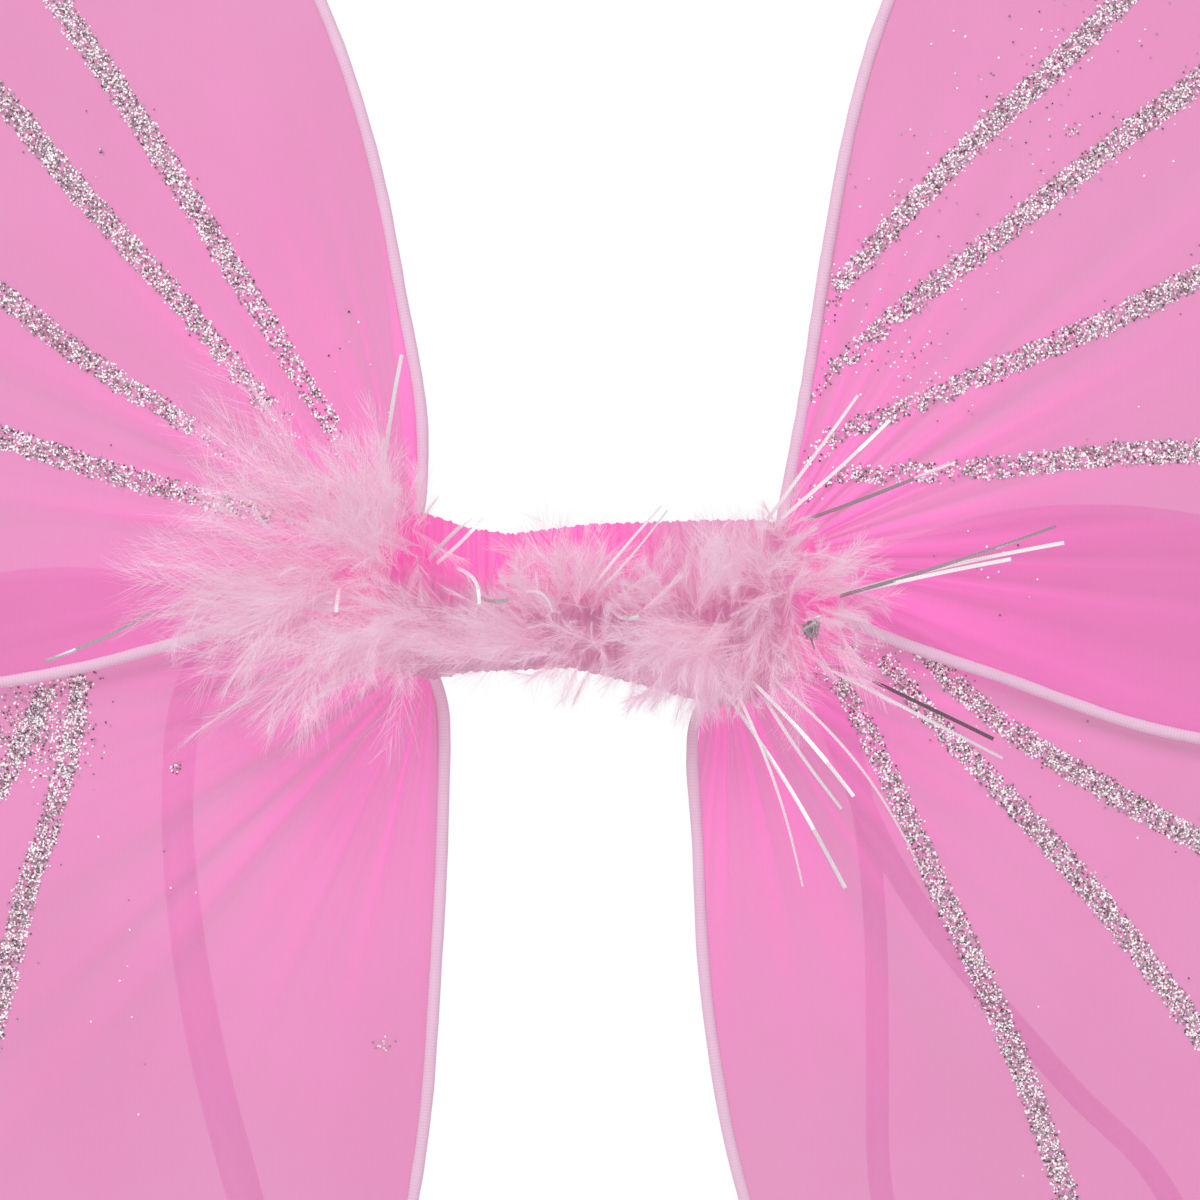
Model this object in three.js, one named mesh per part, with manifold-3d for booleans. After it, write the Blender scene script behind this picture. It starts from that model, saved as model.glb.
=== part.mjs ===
// Fairy wings: four wire-framed wings of sheer knitted nylon on a bound wire spine, with glitter
// veins, a marabou and tinsel centre, a felt back pad and two elastic arm straps.
// Millimetres, +Z up. The wearer's back is on the +Y side, and the marabou faces -Y.
// The origin is the middle of the back pad's flat face. "Left" is the -X side.

import * as THREE from 'three';
import { ConvexGeometry } from 'three/addons/geometries/ConvexGeometry.js';
import { mergeVertices } from 'three/addons/utils/BufferGeometryUtils.js';
import Module from 'manifold-3d';

const wasm = await Module();
wasm.setup();

// ---------------------------------------------------------------- driving dimensions

const CLEARANCE = 0.3;
const WIRE_RADIUS = 1.0;
const WIRE_SIDES = 8;
const STEPS_PER_STRETCH = 3; // steps along a wire between two points of its outline

const UPPER_WING_Y = -16.5;
const LOWER_WING_Y = -12;
const NYLON_THICKNESS = 0.6;

const VEIN_THICKNESS = 0.4;
const VEIN_WIDTH = 5.6;
const VEIN_ROOT_WIDTH = 2.6;
const VEIN_STEPS = 12;

const TAIL_LENGTH = 7; // the two wire ends run side by side for this far
const TAIL_SPACING = 2 * WIRE_RADIUS + 0.4;
const TIE_START = 0.5;
const TIE_LENGTH = 4;
const TIE_CLEARANCE = 0.4;
const TIE_WALL = 0.5;
const TAIL_STATIONS = [0, TIE_START + TIE_LENGTH, TAIL_LENGTH];

const PAD = { width: 48, height: 34, thickness: 2.8, corner: 12 };
const SPINE_Y = -7;
const SPINE_HALF_LENGTH = 25;
const SPINE_PITCH = 2.3; // centre to centre of the four wires in the bundle
const BINDING_INNER_RADIUS = 2.95;
const BINDING_OUTER_RADIUS = 3.75;
const BINDING_HALF_LENGTH = 23;

const ROOT_HINGE_X = 29;
const ROOT_RADIUS = 2.8;
const PEG_FRONT_Y = -14.2;

const STRAP_WIDTH = 6;
const STRAP_THICKNESS = 1.2;
const STRAP_STEPS = 70;
const ANCHOR = { inner: 37, outer: 45, height: 17, back: -0.9, front: -3.9 };

const TINSEL_Y = -47.5;
const TINSEL_WIDTH = 0.9;
const TINSEL_THICKNESS = 0.4;

// Each wing: the place its two wire ends meet, the direction in which they leave, and the centre
// line of its wire, from the edge next to the spine out, round the tip and back. [x, z] pairs.
const WINGS = [
  {
    name: 'left_upper',
    planeY: UPPER_WING_Y,
    root: [-40, 8],
    leanDeg: 140,
    outline: [
      [-42.5, 24], [-42, 45], [-47, 75], [-54.5, 112], [-67.5, 150], [-92, 194], [-130, 228],
      [-180, 248], [-236, 243], [-284, 210], [-314, 158], [-322, 100], [-305, 42], [-265, 0],
      [-210, -21], [-147, -20.5], [-90, -6.7], [-60, 3.5],
    ],
    veins: [
      [[-64, 42.5], [-75.5, 61], [-93, 89], [-114, 122], [-131.5, 147.5], [-152, 181], [-170, 214]],
      [[-80, 47.5], [-101.5, 73.5], [-131, 106], [-146, 124.5], [-178, 155], [-212, 183], [-242, 203]],
      [[-99, 43], [-112, 51], [-132, 64.5], [-147.5, 77], [-186, 103], [-228, 127], [-268, 145]],
      [[-80, 21], [-112, 29.5], [-126.5, 34], [-147.5, 41], [-190, 53], [-238, 64], [-286, 72]],
    ],
  },
  {
    name: 'right_upper',
    planeY: UPPER_WING_Y,
    root: [42, 8],
    leanDeg: 37,
    outline: [
      [49, 26], [53.5, 50], [58.5, 82.5], [65.5, 120], [74.7, 150], [98, 196], [136, 230],
      [186, 250], [242, 244], [289, 211], [318, 158], [325, 100], [308, 40], [266, -8],
      [212, -34], [152, -34.5], [103.5, -19.5], [65, -4.5],
    ],
    veins: [
      [[61.5, 78], [78, 96], [94, 112.5], [132, 149], [156, 178], [178, 212]],
      [[61, 57.5], [77, 72], [98.5, 88], [124.5, 109], [151, 129], [196, 163], [244, 196]],
      [[59, 40.5], [73, 45.5], [93, 54], [133.5, 71.5], [152.5, 81], [208, 108], [268, 136]],
      [[61.5, 31.5], [80, 31.5], [107, 33.5], [129, 36.5], [152.5, 37], [214, 44], [284, 54]],
    ],
  },
  {
    name: 'left_lower',
    planeY: LOWER_WING_Y,
    root: [-36, -9],
    leanDeg: 219,
    outline: [
      [-37, -26], [-36.8, -52], [-38.5, -90], [-43, -142], [-54, -184], [-80, -216], [-120, -231],
      [-164, -223], [-200, -194], [-222, -150], [-230, -100], [-219, -50], [-190, -12],
      [-147, 5.5], [-100, 4], [-62, -3.5],
    ],
    veins: [
      [[-128, -16], [-128.5, -30], [-134, -52], [-140.5, -71], [-147.5, -100], [-157, -136], [-164, -176]],
      [[-136, -22], [-141, -34], [-150, -50], [-163, -68], [-178, -90], [-191, -116]],
    ],
  },
  {
    name: 'right_lower',
    planeY: LOWER_WING_Y,
    root: [30, -9],
    leanDeg: -31,
    outline: [
      [26.5, -30], [27, -62], [29.5, -102], [38.7, -150], [54, -186], [86, -216], [130, -230],
      [176, -221], [212, -192], [234, -148], [240, -96], [229, -42], [198, 2], [152, 20],
      [102, 20.5], [62, 5],
    ],
    veins: [
      [[62, -19.5], [70, -34], [86, -69], [105.5, -111], [119, -148], [127, -174], [133, -200]],
      [[73.5, -14.5], [84.5, -28.5], [114, -59.5], [143, -95], [160, -120], [178, -150]],
      [[83, -12], [97, -26.5], [130, -48], [152, -60], [182, -76], [210, -94]],
    ],
  },
];

// The elastic's route: out of the anchor, down behind the lower wing, round the bottom and back.
const STRAPS = {
  left: [
    [-45.6, -2.4, 4.2], [-59, -0.6, 3.6], [-78, 2.2, 0.8], [-94, 4.2, -8], [-103, 5, -25],
    [-105.5, 5, -52], [-103.5, 5, -84], [-98.5, 6, -115], [-91, 8, -145], [-83.5, 12, -170],
    [-79.5, 20, -184], [-81.5, 29, -175], [-88.5, 33, -150], [-97, 33, -117], [-103, 31, -82],
    [-105, 27, -52], [-101, 21, -27], [-89, 14, -13], [-73, 6.5, -7], [-57, 0.6, -4.8],
    [-45.6, -2.4, -4.2],
  ],
  right: [
    [45.6, -2.4, 4.2], [50.5, -1.6, 3.4], [58, 2.6, -9], [64.5, 5.2, -32], [70, 6, -58],
    [72.3, 6, -84], [72.8, 6, -110], [73.8, 6, -150], [80, 6, -172], [96, 5.5, -187],
    [120, 4.5, -191], [142, 3.5, -182], [151, 2.6, -165], [142.5, 2.2, -145], [123, 2, -125],
    [107.5, 1.8, -107.5], [90, 1.6, -87], [76, 1.2, -66], [64.5, 0.4, -41], [56, -1, -18],
    [50.5, -2, -6.4], [45.6, -2.4, -4.2],
  ],
};

// Soft masses of down: centre and half-lengths along X, Y and Z.
const MARABOU = {
  left: { at: [-68, -33, 10], half: [36, 12, 34] },
  middle: { at: [0, -32, -2], half: [16, 12.5, 24] },
  right: { at: [62, -33, -3], half: [30, 12, 33] },
};
const GATHERED_NYLON = { at: [0, -14.9, 8], half: [22, 3.3, 11] };

// Tinsel sprays: the knot, and each strand's tip, as [x, z] pairs.
const TINSEL = {
  left: { knot: [-62, 8], tips: [[-134, -15], [-112, 34], [-104, -28], [-88, 52], [-76, -34]] },
  middle: { knot: [0, 0], tips: [[12, 18], [-13, 15], [-14, -13], [10, -19]] },
  right: {
    knot: [60, -4],
    tips: [
      [65.5, 50], [73.5, 44], [91, 35], [114, 18], [116, 11], [101.5, -39], [81, -66],
      [62.5, -70.5], [52, -70],
    ],
  },
};

// ---------------------------------------------------------------- finishes

function finish(colour, roughness, metalness) {
  return new THREE.MeshStandardMaterial({ color: colour, roughness, metalness });
}

const FINISHES = {
  nylon: () => finish(0xf09ccd, 0.55, 0),
  hemmedWire: () => finish(0xe9c0d4, 0.6, 0.1),
  steel: () => finish(0xb8bcc0, 0.35, 0.9),
  tape: () => finish(0xf2b9d3, 0.6, 0),
  felt: () => finish(0xf0a8cc, 0.95, 0),
  elastic: () => finish(0xf5d3e4, 0.8, 0),
  glitter: () => finish(0xd9dbe0, 0.25, 0.8),
  marabou: () => finish(0xe6b9cb, 0.9, 0),
  gatheredNylon: () => finish(0xf57fbe, 0.5, 0),
  tinsel: () => finish(0xe4e6ea, 0.15, 0.9),
};

// ---------------------------------------------------------------- geometry helpers

// One closed body: vertices shared, and faces pointing outwards.
function closed(geometry) {
  geometry.deleteAttribute('normal');
  geometry.deleteAttribute('uv');
  const merged = mergeVertices(geometry, 1e-5);
  if (signedVolume(merged) < 0) reverseFaces(merged);
  merged.computeVertexNormals();
  return merged;
}

function signedVolume(geometry) {
  const position = geometry.getAttribute('position');
  const [a, b, c] = [new THREE.Vector3(), new THREE.Vector3(), new THREE.Vector3()];
  let sum = 0;
  for (let i = 0; i < geometry.index.count; i += 3) {
    a.fromBufferAttribute(position, geometry.index.getX(i));
    b.fromBufferAttribute(position, geometry.index.getX(i + 1));
    c.fromBufferAttribute(position, geometry.index.getX(i + 2));
    sum += a.dot(b.cross(c));
  }
  return sum / 6;
}

function reverseFaces(geometry) {
  const index = geometry.index;
  for (let i = 0; i < index.count; i += 3) {
    const second = index.getX(i + 1);
    index.setX(i + 1, index.getX(i + 2));
    index.setX(i + 2, second);
  }
}

function toSolid(geometry) {
  const merged = closed(geometry);
  return new wasm.Manifold(new wasm.Mesh({
    numProp: 3,
    vertProperties: new Float32Array(merged.getAttribute('position').array),
    triVerts: new Uint32Array(merged.index.array),
  }));
}

function union(geometries) {
  const solid = geometries.map(toSolid).reduce((whole, piece) => whole.add(piece));
  const mesh = solid.getMesh();
  const geometry = new THREE.BufferGeometry();
  geometry.setAttribute('position', new THREE.BufferAttribute(mesh.vertProperties, 3));
  geometry.setIndex(new THREE.BufferAttribute(mesh.triVerts, 1));
  geometry.computeVertexNormals();
  return geometry;
}

// A flat plate whose outline is given as [x, z] points, from backY towards -Y.
function plate(outline, backY, thickness) {
  const shape = new THREE.Shape(outline.map(([x, z]) => new THREE.Vector2(x, z)));
  const geometry = new THREE.ExtrudeGeometry(shape, { depth: thickness, bevelEnabled: false });
  return closed(geometry.rotateX(Math.PI / 2).translate(0, backY, 0));
}

// A section with its own thickness along x and width along y, swept along a curve.
function sweep(section, curve, steps) {
  const options = { steps, bevelEnabled: false, extrudePath: curve };
  return closed(new THREE.ExtrudeGeometry(section, options));
}

function polygonSection(radiusX, radiusY, sides) {
  const points = [];
  for (let i = 0; i < sides; i += 1) {
    const angle = (2 * Math.PI * (i + 0.5)) / sides;
    points.push(new THREE.Vector2(radiusX * Math.cos(angle), radiusY * Math.sin(angle)));
  }
  return new THREE.Shape(points);
}

function ellipsoid({ at, half }) {
  return closed(new THREE.SphereGeometry(1, 20, 14).scale(...half).translate(...at));
}

function curveThrough(points) {
  const vectors = points.map(([x, y, z]) => new THREE.Vector3(x, y, z));
  return new THREE.CatmullRomCurve3(vectors, false, 'centripetal');
}

// ---------------------------------------------------------------- the wings

// A curve stepped evenly between its points, so that its tight bends get the most steps.
class StretchCurve extends THREE.CatmullRomCurve3 {
  getPointAt(u, target) {
    return this.getPoint(u, target);
  }

  getTangentAt(u, target) {
    return this.getTangent(u, target);
  }

  steps() {
    return STEPS_PER_STRETCH * (this.points.length - 1);
  }
}

function rootAxes(wing) {
  const angle = THREE.MathUtils.degToRad(wing.leanDeg);
  const along = [Math.cos(angle), Math.sin(angle)];
  const across = [-along[1], along[0]];
  const [x, z] = [wing.outline[0][0] - wing.root[0], wing.outline[0][1] - wing.root[1]];
  const innerSide = Math.sign(along[0] * z - along[1] * x);
  return { along, across, innerSide };
}

function tailPoint(wing, distance, side) {
  const { along, across } = rootAxes(wing);
  const offset = (side * TAIL_SPACING) / 2;
  return [
    wing.root[0] + along[0] * distance + across[0] * offset,
    wing.planeY,
    wing.root[1] + along[1] * distance + across[1] * offset,
  ];
}

function wireCurve(wing) {
  const { innerSide } = rootAxes(wing);
  const outgoing = TAIL_STATIONS.map((distance) => tailPoint(wing, distance, innerSide));
  const returning = TAIL_STATIONS.map((distance) => tailPoint(wing, distance, -innerSide));
  const loop = wing.outline.map(([x, z]) => [x, wing.planeY, z]);
  const points = [...outgoing, ...loop, ...returning.reverse()];
  return new StretchCurve(points.map((point) => new THREE.Vector3(...point)), false, 'centripetal');
}

function wire(wing) {
  const curve = wireCurve(wing);
  const section = polygonSection(WIRE_RADIUS, WIRE_RADIUS, WIRE_SIDES);
  return sweep(section, curve, curve.steps());
}

// The nylon lies inside the wire, from its outline's first point to its last.
function nylonOutline(wing) {
  const curve = wireCurve(wing);
  const inset = WIRE_RADIUS + CLEARANCE;
  const skipped = STEPS_PER_STRETCH * TAIL_STATIONS.length;
  const turn = -rootAxes(wing).innerSide;
  const points = [];
  for (let i = skipped; i <= curve.steps() - skipped; i += 1) {
    const point = curve.getPoint(i / curve.steps());
    const tangent = curve.getTangent(i / curve.steps());
    points.push([point.x - turn * inset * tangent.z, point.z + turn * inset * tangent.x]);
  }
  return points;
}

function nylon(wing) {
  return plate(nylonOutline(wing), wing.planeY + NYLON_THICKNESS / 2, NYLON_THICKNESS);
}

// A glue line of glitter on the front of the nylon, narrow at its root and at its tip.
function vein(wing, route) {
  const curve = curveThrough(route.map(([x, z]) => [x, 0, z]));
  const sides = [[], []];
  for (let i = 0; i <= VEIN_STEPS; i += 1) {
    const u = i / VEIN_STEPS;
    const point = curve.getPointAt(u);
    const tangent = curve.getTangentAt(u);
    const growth = Math.sin(Math.PI * Math.min(1, 0.12 + 0.8 * u)) ** 0.5;
    const halfWidth = (VEIN_ROOT_WIDTH + (VEIN_WIDTH - VEIN_ROOT_WIDTH) * growth) / 2;
    sides[0].push([point.x - halfWidth * tangent.z, point.z + halfWidth * tangent.x]);
    sides[1].unshift([point.x + halfWidth * tangent.z, point.z - halfWidth * tangent.x]);
  }
  const backY = wing.planeY - NYLON_THICKNESS / 2 - CLEARANCE;
  return plate([...sides[0], ...sides[1]], backY, VEIN_THICKNESS);
}

// A sleeve of tape round the two wire ends.
function tie(wing) {
  const { along, across } = rootAxes(wing);
  const inner = WIRE_RADIUS + TIE_CLEARANCE;
  const section = stadium(TAIL_SPACING / 2, inner + TIE_WALL);
  section.holes.push(stadium(TAIL_SPACING / 2, inner));
  const options = { depth: TIE_LENGTH, bevelEnabled: false, curveSegments: 6 };
  const geometry = new THREE.ExtrudeGeometry(section, options);
  const placed = new THREE.Matrix4().makeBasis(
    new THREE.Vector3(-across[0], 0, -across[1]),
    new THREE.Vector3(0, 1, 0),
    new THREE.Vector3(along[0], 0, along[1]),
  );
  const [x, y, z] = tailPoint(wing, TIE_START, 0);
  return closed(geometry.applyMatrix4(placed.setPosition(x, y, z)));
}

function stadium(halfSpan, radius) {
  const shape = new THREE.Shape();
  shape.absarc(halfSpan, 0, radius, -Math.PI / 2, Math.PI / 2);
  shape.absarc(-halfSpan, 0, radius, Math.PI / 2, (3 * Math.PI) / 2);
  shape.closePath();
  return shape;
}

// ---------------------------------------------------------------- the centre

function backPad() {
  const [w, h, r] = [PAD.width / 2 - PAD.corner, PAD.height / 2 - PAD.corner, PAD.corner];
  const shape = new THREE.Shape();
  shape.absarc(w, -h, r, -Math.PI / 2, 0);
  shape.absarc(w, h, r, 0, Math.PI / 2);
  shape.absarc(-w, h, r, Math.PI / 2, Math.PI);
  shape.absarc(-w, -h, r, Math.PI, (3 * Math.PI) / 2);
  const options = { depth: PAD.thickness, bevelEnabled: false, curveSegments: 6 };
  return closed(new THREE.ExtrudeGeometry(shape, options).rotateX(Math.PI / 2));
}

function spineWire(index) {
  const geometry = new THREE.CylinderGeometry(
    WIRE_RADIUS, WIRE_RADIUS, 2 * SPINE_HALF_LENGTH, 12,
  );
  const y = SPINE_Y + (index % 2 === 0 ? -SPINE_PITCH : SPINE_PITCH) / 2;
  const z = (index < 2 ? SPINE_PITCH : -SPINE_PITCH) / 2;
  return closed(geometry.rotateZ(Math.PI / 2).translate(0, y, z));
}

function centreBinding() {
  const profile = [
    [BINDING_INNER_RADIUS, -BINDING_HALF_LENGTH],
    [BINDING_OUTER_RADIUS, -BINDING_HALF_LENGTH],
    [BINDING_OUTER_RADIUS, BINDING_HALF_LENGTH],
    [BINDING_INNER_RADIUS, BINDING_HALF_LENGTH],
    [BINDING_INNER_RADIUS, -BINDING_HALF_LENGTH],
  ].map(([radius, height]) => new THREE.Vector2(radius, height));
  const geometry = new THREE.LatheGeometry(profile, 24);
  return closed(geometry.rotateZ(Math.PI / 2).translate(0, SPINE_Y, 0));
}

// ---------------------------------------------------------------- the two roots

function wingOf(side, level) {
  return WINGS.find((wing) => wing.name === `${side}_${level}`);
}

// Taped bundle from the spine's end to both wings, with a peg forward to the upper wing.
function rootBinding(side, sign) {
  const upper = wingOf(side, 'upper').root;
  const lower = wingOf(side, 'lower').root;
  const points = [];
  for (const [x, z] of [[sign * ROOT_HINGE_X, 0], upper, lower]) {
    const ball = new THREE.SphereGeometry(ROOT_RADIUS, 12, 8).translate(x, SPINE_Y, z);
    const position = ball.getAttribute('position');
    for (let i = 0; i < position.count; i += 1) {
      points.push(new THREE.Vector3().fromBufferAttribute(position, i));
    }
  }
  const length = SPINE_Y - PEG_FRONT_Y;
  const peg = new THREE.CylinderGeometry(ROOT_RADIUS - 0.4, ROOT_RADIUS - 0.4, length, 12)
    .translate(upper[0], SPINE_Y - length / 2, upper[1]);
  return union([new ConvexGeometry(points), peg]);
}

function strapAnchor(sign) {
  const width = ANCHOR.outer - ANCHOR.inner;
  const depth = ANCHOR.back - ANCHOR.front;
  const x = (sign * (ANCHOR.inner + ANCHOR.outer)) / 2;
  const y = (ANCHOR.back + ANCHOR.front) / 2;
  return closed(new THREE.BoxGeometry(width, depth, ANCHOR.height).translate(x, y, 0));
}

function armStrap(side) {
  const section = polygonSection(STRAP_THICKNESS / 2, STRAP_WIDTH / 2, 8);
  return sweep(section, curveThrough(STRAPS[side]), STRAP_STEPS);
}

// Flat strands of tinsel fanning out of one knot.
function tinsel({ knot, tips }) {
  const thickness = TINSEL_THICKNESS;
  const disc = new THREE.CylinderGeometry(2.5, 2.5, thickness + 0.4, 12)
    .translate(knot[0], TINSEL_Y, knot[1]);
  const strands = tips.map(([x, z]) => {
    const [dx, dz] = [x - knot[0], z - knot[1]];
    return new THREE.BoxGeometry(Math.hypot(dx, dz), thickness, TINSEL_WIDTH)
      .rotateY(-Math.atan2(dz, dx))
      .translate(knot[0] + dx / 2, TINSEL_Y, knot[1] + dz / 2);
  });
  return union([disc, ...strands]);
}

// ---------------------------------------------------------------- the assembly

const fairyWings = new THREE.Group();

function addPiece(name, geometry, material) {
  const mesh = new THREE.Mesh(geometry, material);
  mesh.name = name;
  fairyWings.add(mesh);
}

function addCentre() {
  addPiece('back_pad', backPad(), FINISHES.felt());
  for (let i = 0; i < 4; i += 1) addPiece(`spine_wire_${i + 1}`, spineWire(i), FINISHES.steel());
  addPiece('centre_binding', centreBinding(), FINISHES.tape());
  addPiece('gathered_nylon', ellipsoid(GATHERED_NYLON), FINISHES.gatheredNylon());
  addPiece('marabou_middle', ellipsoid(MARABOU.middle), FINISHES.marabou());
  addPiece('tinsel_middle', tinsel(TINSEL.middle), FINISHES.tinsel());
}

function addRoot(side, sign) {
  addPiece(`${side}_root_binding`, rootBinding(side, sign), FINISHES.tape());
  addPiece(`${side}_strap_anchor`, strapAnchor(sign), FINISHES.tape());
  addPiece(`${side}_arm_strap`, armStrap(side), FINISHES.elastic());
  addPiece(`${side}_marabou`, ellipsoid(MARABOU[side]), FINISHES.marabou());
  addPiece(`${side}_tinsel`, tinsel(TINSEL[side]), FINISHES.tinsel());
}

function addWing(wing) {
  addPiece(`${wing.name}_wing_wire`, wire(wing), FINISHES.hemmedWire());
  addPiece(`${wing.name}_wing_tie`, tie(wing), FINISHES.tape());
  addPiece(`${wing.name}_wing_nylon`, nylon(wing), FINISHES.nylon());
  wing.veins.forEach((route, index) => {
    addPiece(`${wing.name}_glitter_vein_${index + 1}`, vein(wing, route), FINISHES.glitter());
  });
}

addCentre();
addRoot('left', -1);
addRoot('right', 1);
WINGS.forEach(addWing);

export default fairyWings;
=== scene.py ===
"""Looks of a pair of fairy wings: sheer pink nylon stretched on wire loops, with glitter veins,
marabou down, tinsel, a felt back pad and elastic arm straps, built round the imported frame."""

import logging
import math
from collections.abc import Callable
from dataclasses import dataclass, field
from enum import Enum
from typing import ClassVar

import bmesh
import bpy
import numpy as np
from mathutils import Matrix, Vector


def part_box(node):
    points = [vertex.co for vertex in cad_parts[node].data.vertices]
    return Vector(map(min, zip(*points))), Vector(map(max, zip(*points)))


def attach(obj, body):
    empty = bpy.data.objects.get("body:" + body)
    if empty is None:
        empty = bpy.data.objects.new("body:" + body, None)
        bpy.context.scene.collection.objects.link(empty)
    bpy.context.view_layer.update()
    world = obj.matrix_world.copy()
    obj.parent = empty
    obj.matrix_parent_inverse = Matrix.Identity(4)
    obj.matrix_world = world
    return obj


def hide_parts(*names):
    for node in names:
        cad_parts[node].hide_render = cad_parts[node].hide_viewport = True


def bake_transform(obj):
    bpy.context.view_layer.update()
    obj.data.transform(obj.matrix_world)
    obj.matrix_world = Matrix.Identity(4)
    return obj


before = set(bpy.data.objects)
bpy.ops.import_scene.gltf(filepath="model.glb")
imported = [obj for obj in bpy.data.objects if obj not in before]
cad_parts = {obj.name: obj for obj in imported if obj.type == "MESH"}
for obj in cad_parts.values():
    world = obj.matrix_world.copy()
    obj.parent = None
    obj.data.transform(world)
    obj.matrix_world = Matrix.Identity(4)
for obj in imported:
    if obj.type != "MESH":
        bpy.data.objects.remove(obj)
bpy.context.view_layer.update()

LOG = logging.getLogger("fairy_wings")
MM = 0.001
Array = np.ndarray
Colour = tuple[float, float, float]
Triple = tuple[float, float, float]


class Side(Enum):
    """The two sides of the wings, as seen from the marabou, with the sign of X on each."""

    LEFT = -1
    RIGHT = 1

    @property
    def word(self) -> str:
        """The side's name, as nodes and bodies use it."""
        return self.name.lower()


class Level(Enum):
    """The two wings of one side."""

    UPPER = "upper"
    LOWER = "lower"


# ------------------------------------------------------------------ mesh making


def mesh_object(name: str, points: Array, faces: Array, material: bpy.types.Material,
                smooth: bool = True, **values: Array) -> bpy.types.Object:
    """Makes an object from arrays.

    Args:
        name: The piece's name.
        points: Vertex places in metres, one row each.
        faces: Vertex numbers, one row for each face, all with the same number of corners.
        material: The finish of the whole piece.
        smooth: Whether the faces are shaded smooth.
        **values: One number per vertex for each named attribute.

    Returns:
        The new object, linked to the scene, at the origin.
    """
    mesh = bpy.data.meshes.new(name)
    count, corners = faces.shape
    mesh.vertices.add(len(points))
    mesh.vertices.foreach_set("co", np.ascontiguousarray(points, np.float32).ravel())
    mesh.loops.add(count * corners)
    mesh.loops.foreach_set("vertex_index", np.ascontiguousarray(faces, np.int32).ravel())
    mesh.polygons.add(count)
    mesh.polygons.foreach_set("loop_start", np.arange(0, count * corners, corners, dtype=np.int32))
    mesh.update(calc_edges=True)
    mesh.polygons.foreach_set("use_smooth", np.full(count, smooth))
    for key, numbers in values.items():
        set_values(mesh, key, numbers)
    mesh.materials.append(material)
    obj = bpy.data.objects.new(name, mesh)
    bpy.context.scene.collection.objects.link(obj)
    return obj


def grid_faces(rows: int, columns: int, closed: bool = False) -> Array:
    """Quads of a grid whose points are stored row after row.

    Args:
        rows: Number of rows of points.
        columns: Number of points in a row.
        closed: Whether each row's last point joins its first.

    Returns:
        Vertex numbers, four for each face.
    """
    across = columns if closed else columns - 1
    row, column = np.meshgrid(np.arange(rows - 1), np.arange(across), indexing="ij")
    after = (column + 1) % columns
    corners = (row * columns + column, row * columns + after,
               (row + 1) * columns + after, (row + 1) * columns + column)
    return np.stack(corners, -1).reshape(-1, 4)


def facing_front(points: Array, faces: Array) -> Array:
    """The faces, turned if need be so that most of them look towards -Y."""
    a, b, c = (points[faces[:, k]] for k in range(3))
    return faces if np.cross(b - a, c - a)[:, 1].sum() < 0 else faces[:, ::-1]


def copies(master: bpy.types.Object, places: Array, axes: Array) -> tuple[Array, Array]:
    """Copies a small modelled shape many times.

    Args:
        master: The shape, modelled once. It is removed afterwards.
        places: The origin of each copy, one row each.
        axes: For each copy, the three vectors its X, Y and Z directions become.

    Returns:
        The points and the faces of all copies.
    """
    mesh = master.data
    shape = np.array([v.co for v in mesh.vertices], float)
    faces = np.array([list(p.vertices) for p in mesh.polygons])
    points = places[:, None, :] + np.einsum("vk,nkc->nvc", shape, axes)
    steps = np.arange(len(places))[:, None, None] * len(shape)
    bpy.data.objects.remove(master)
    return points.reshape(-1, 3), (faces[None] + steps).reshape(-1, faces.shape[1])


def smooth_line(points: Array, spacing: float) -> Array:
    """A smooth curve through points, resampled evenly.

    Args:
        points: The points that the curve passes through.
        spacing: Distance between the points it gives back.

    Returns:
        The evenly spaced points, first and last kept.
    """
    points = np.asarray(points, float)
    padded = np.vstack([2 * points[0] - points[1], points, 2 * points[-1] - points[-2]])
    knots = np.concatenate([[0], np.cumsum(np.linalg.norm(np.diff(padded, axis=0), axis=1) ** 0.5)])
    fine = []
    for i in range(1, len(padded) - 2):
        t0, t1, t2, t3 = knots[i - 1:i + 3]
        p0, p1, p2, p3 = padded[i - 1:i + 3]
        t = np.linspace(t1, t2, 24, endpoint=False)[:, None]
        a1 = (t1 - t) / (t1 - t0) * p0 + (t - t0) / (t1 - t0) * p1
        a2 = (t2 - t) / (t2 - t1) * p1 + (t - t1) / (t2 - t1) * p2
        a3 = (t3 - t) / (t3 - t2) * p2 + (t - t2) / (t3 - t2) * p3
        b1 = (t2 - t) / (t2 - t0) * a1 + (t - t0) / (t2 - t0) * a2
        b2 = (t3 - t) / (t3 - t1) * a2 + (t - t1) / (t3 - t1) * a3
        fine.append((t2 - t) / (t2 - t1) * b1 + (t - t1) / (t2 - t1) * b2)
    dense = np.vstack([*fine, points[-1:]])
    along = run_lengths(dense)
    stations = np.linspace(0, along[-1], max(2, round(along[-1] / spacing) + 1))
    return np.stack([np.interp(stations, along, dense[:, k]) for k in range(dense.shape[1])], -1)


def unit(vectors: Array) -> Array:
    """Vectors scaled to length one."""
    return vectors / np.maximum(np.linalg.norm(vectors, axis=-1, keepdims=True), 1e-12)


def carried_frames(path: Array, first_side: Array) -> tuple[Array, Array]:
    """Side and lift directions along a path, carried from step to step without twist.

    Args:
        path: The points of the path.
        first_side: The direction of the band's width at the first point.

    Returns:
        The width directions and the thickness directions, one row for each point.
    """
    tangents = unit(np.gradient(path, axis=0))
    sides = np.zeros_like(path)
    side = np.asarray(first_side, float)
    for i, tangent in enumerate(tangents):
        side = unit(side - tangent * np.dot(side, tangent))
        sides[i] = side
    return sides, np.cross(tangents, sides)


def ring_angles(corners: int) -> Array:
    """The angle of each corner of a ring, in radians."""
    return 2 * math.pi * np.arange(corners) / corners


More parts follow.
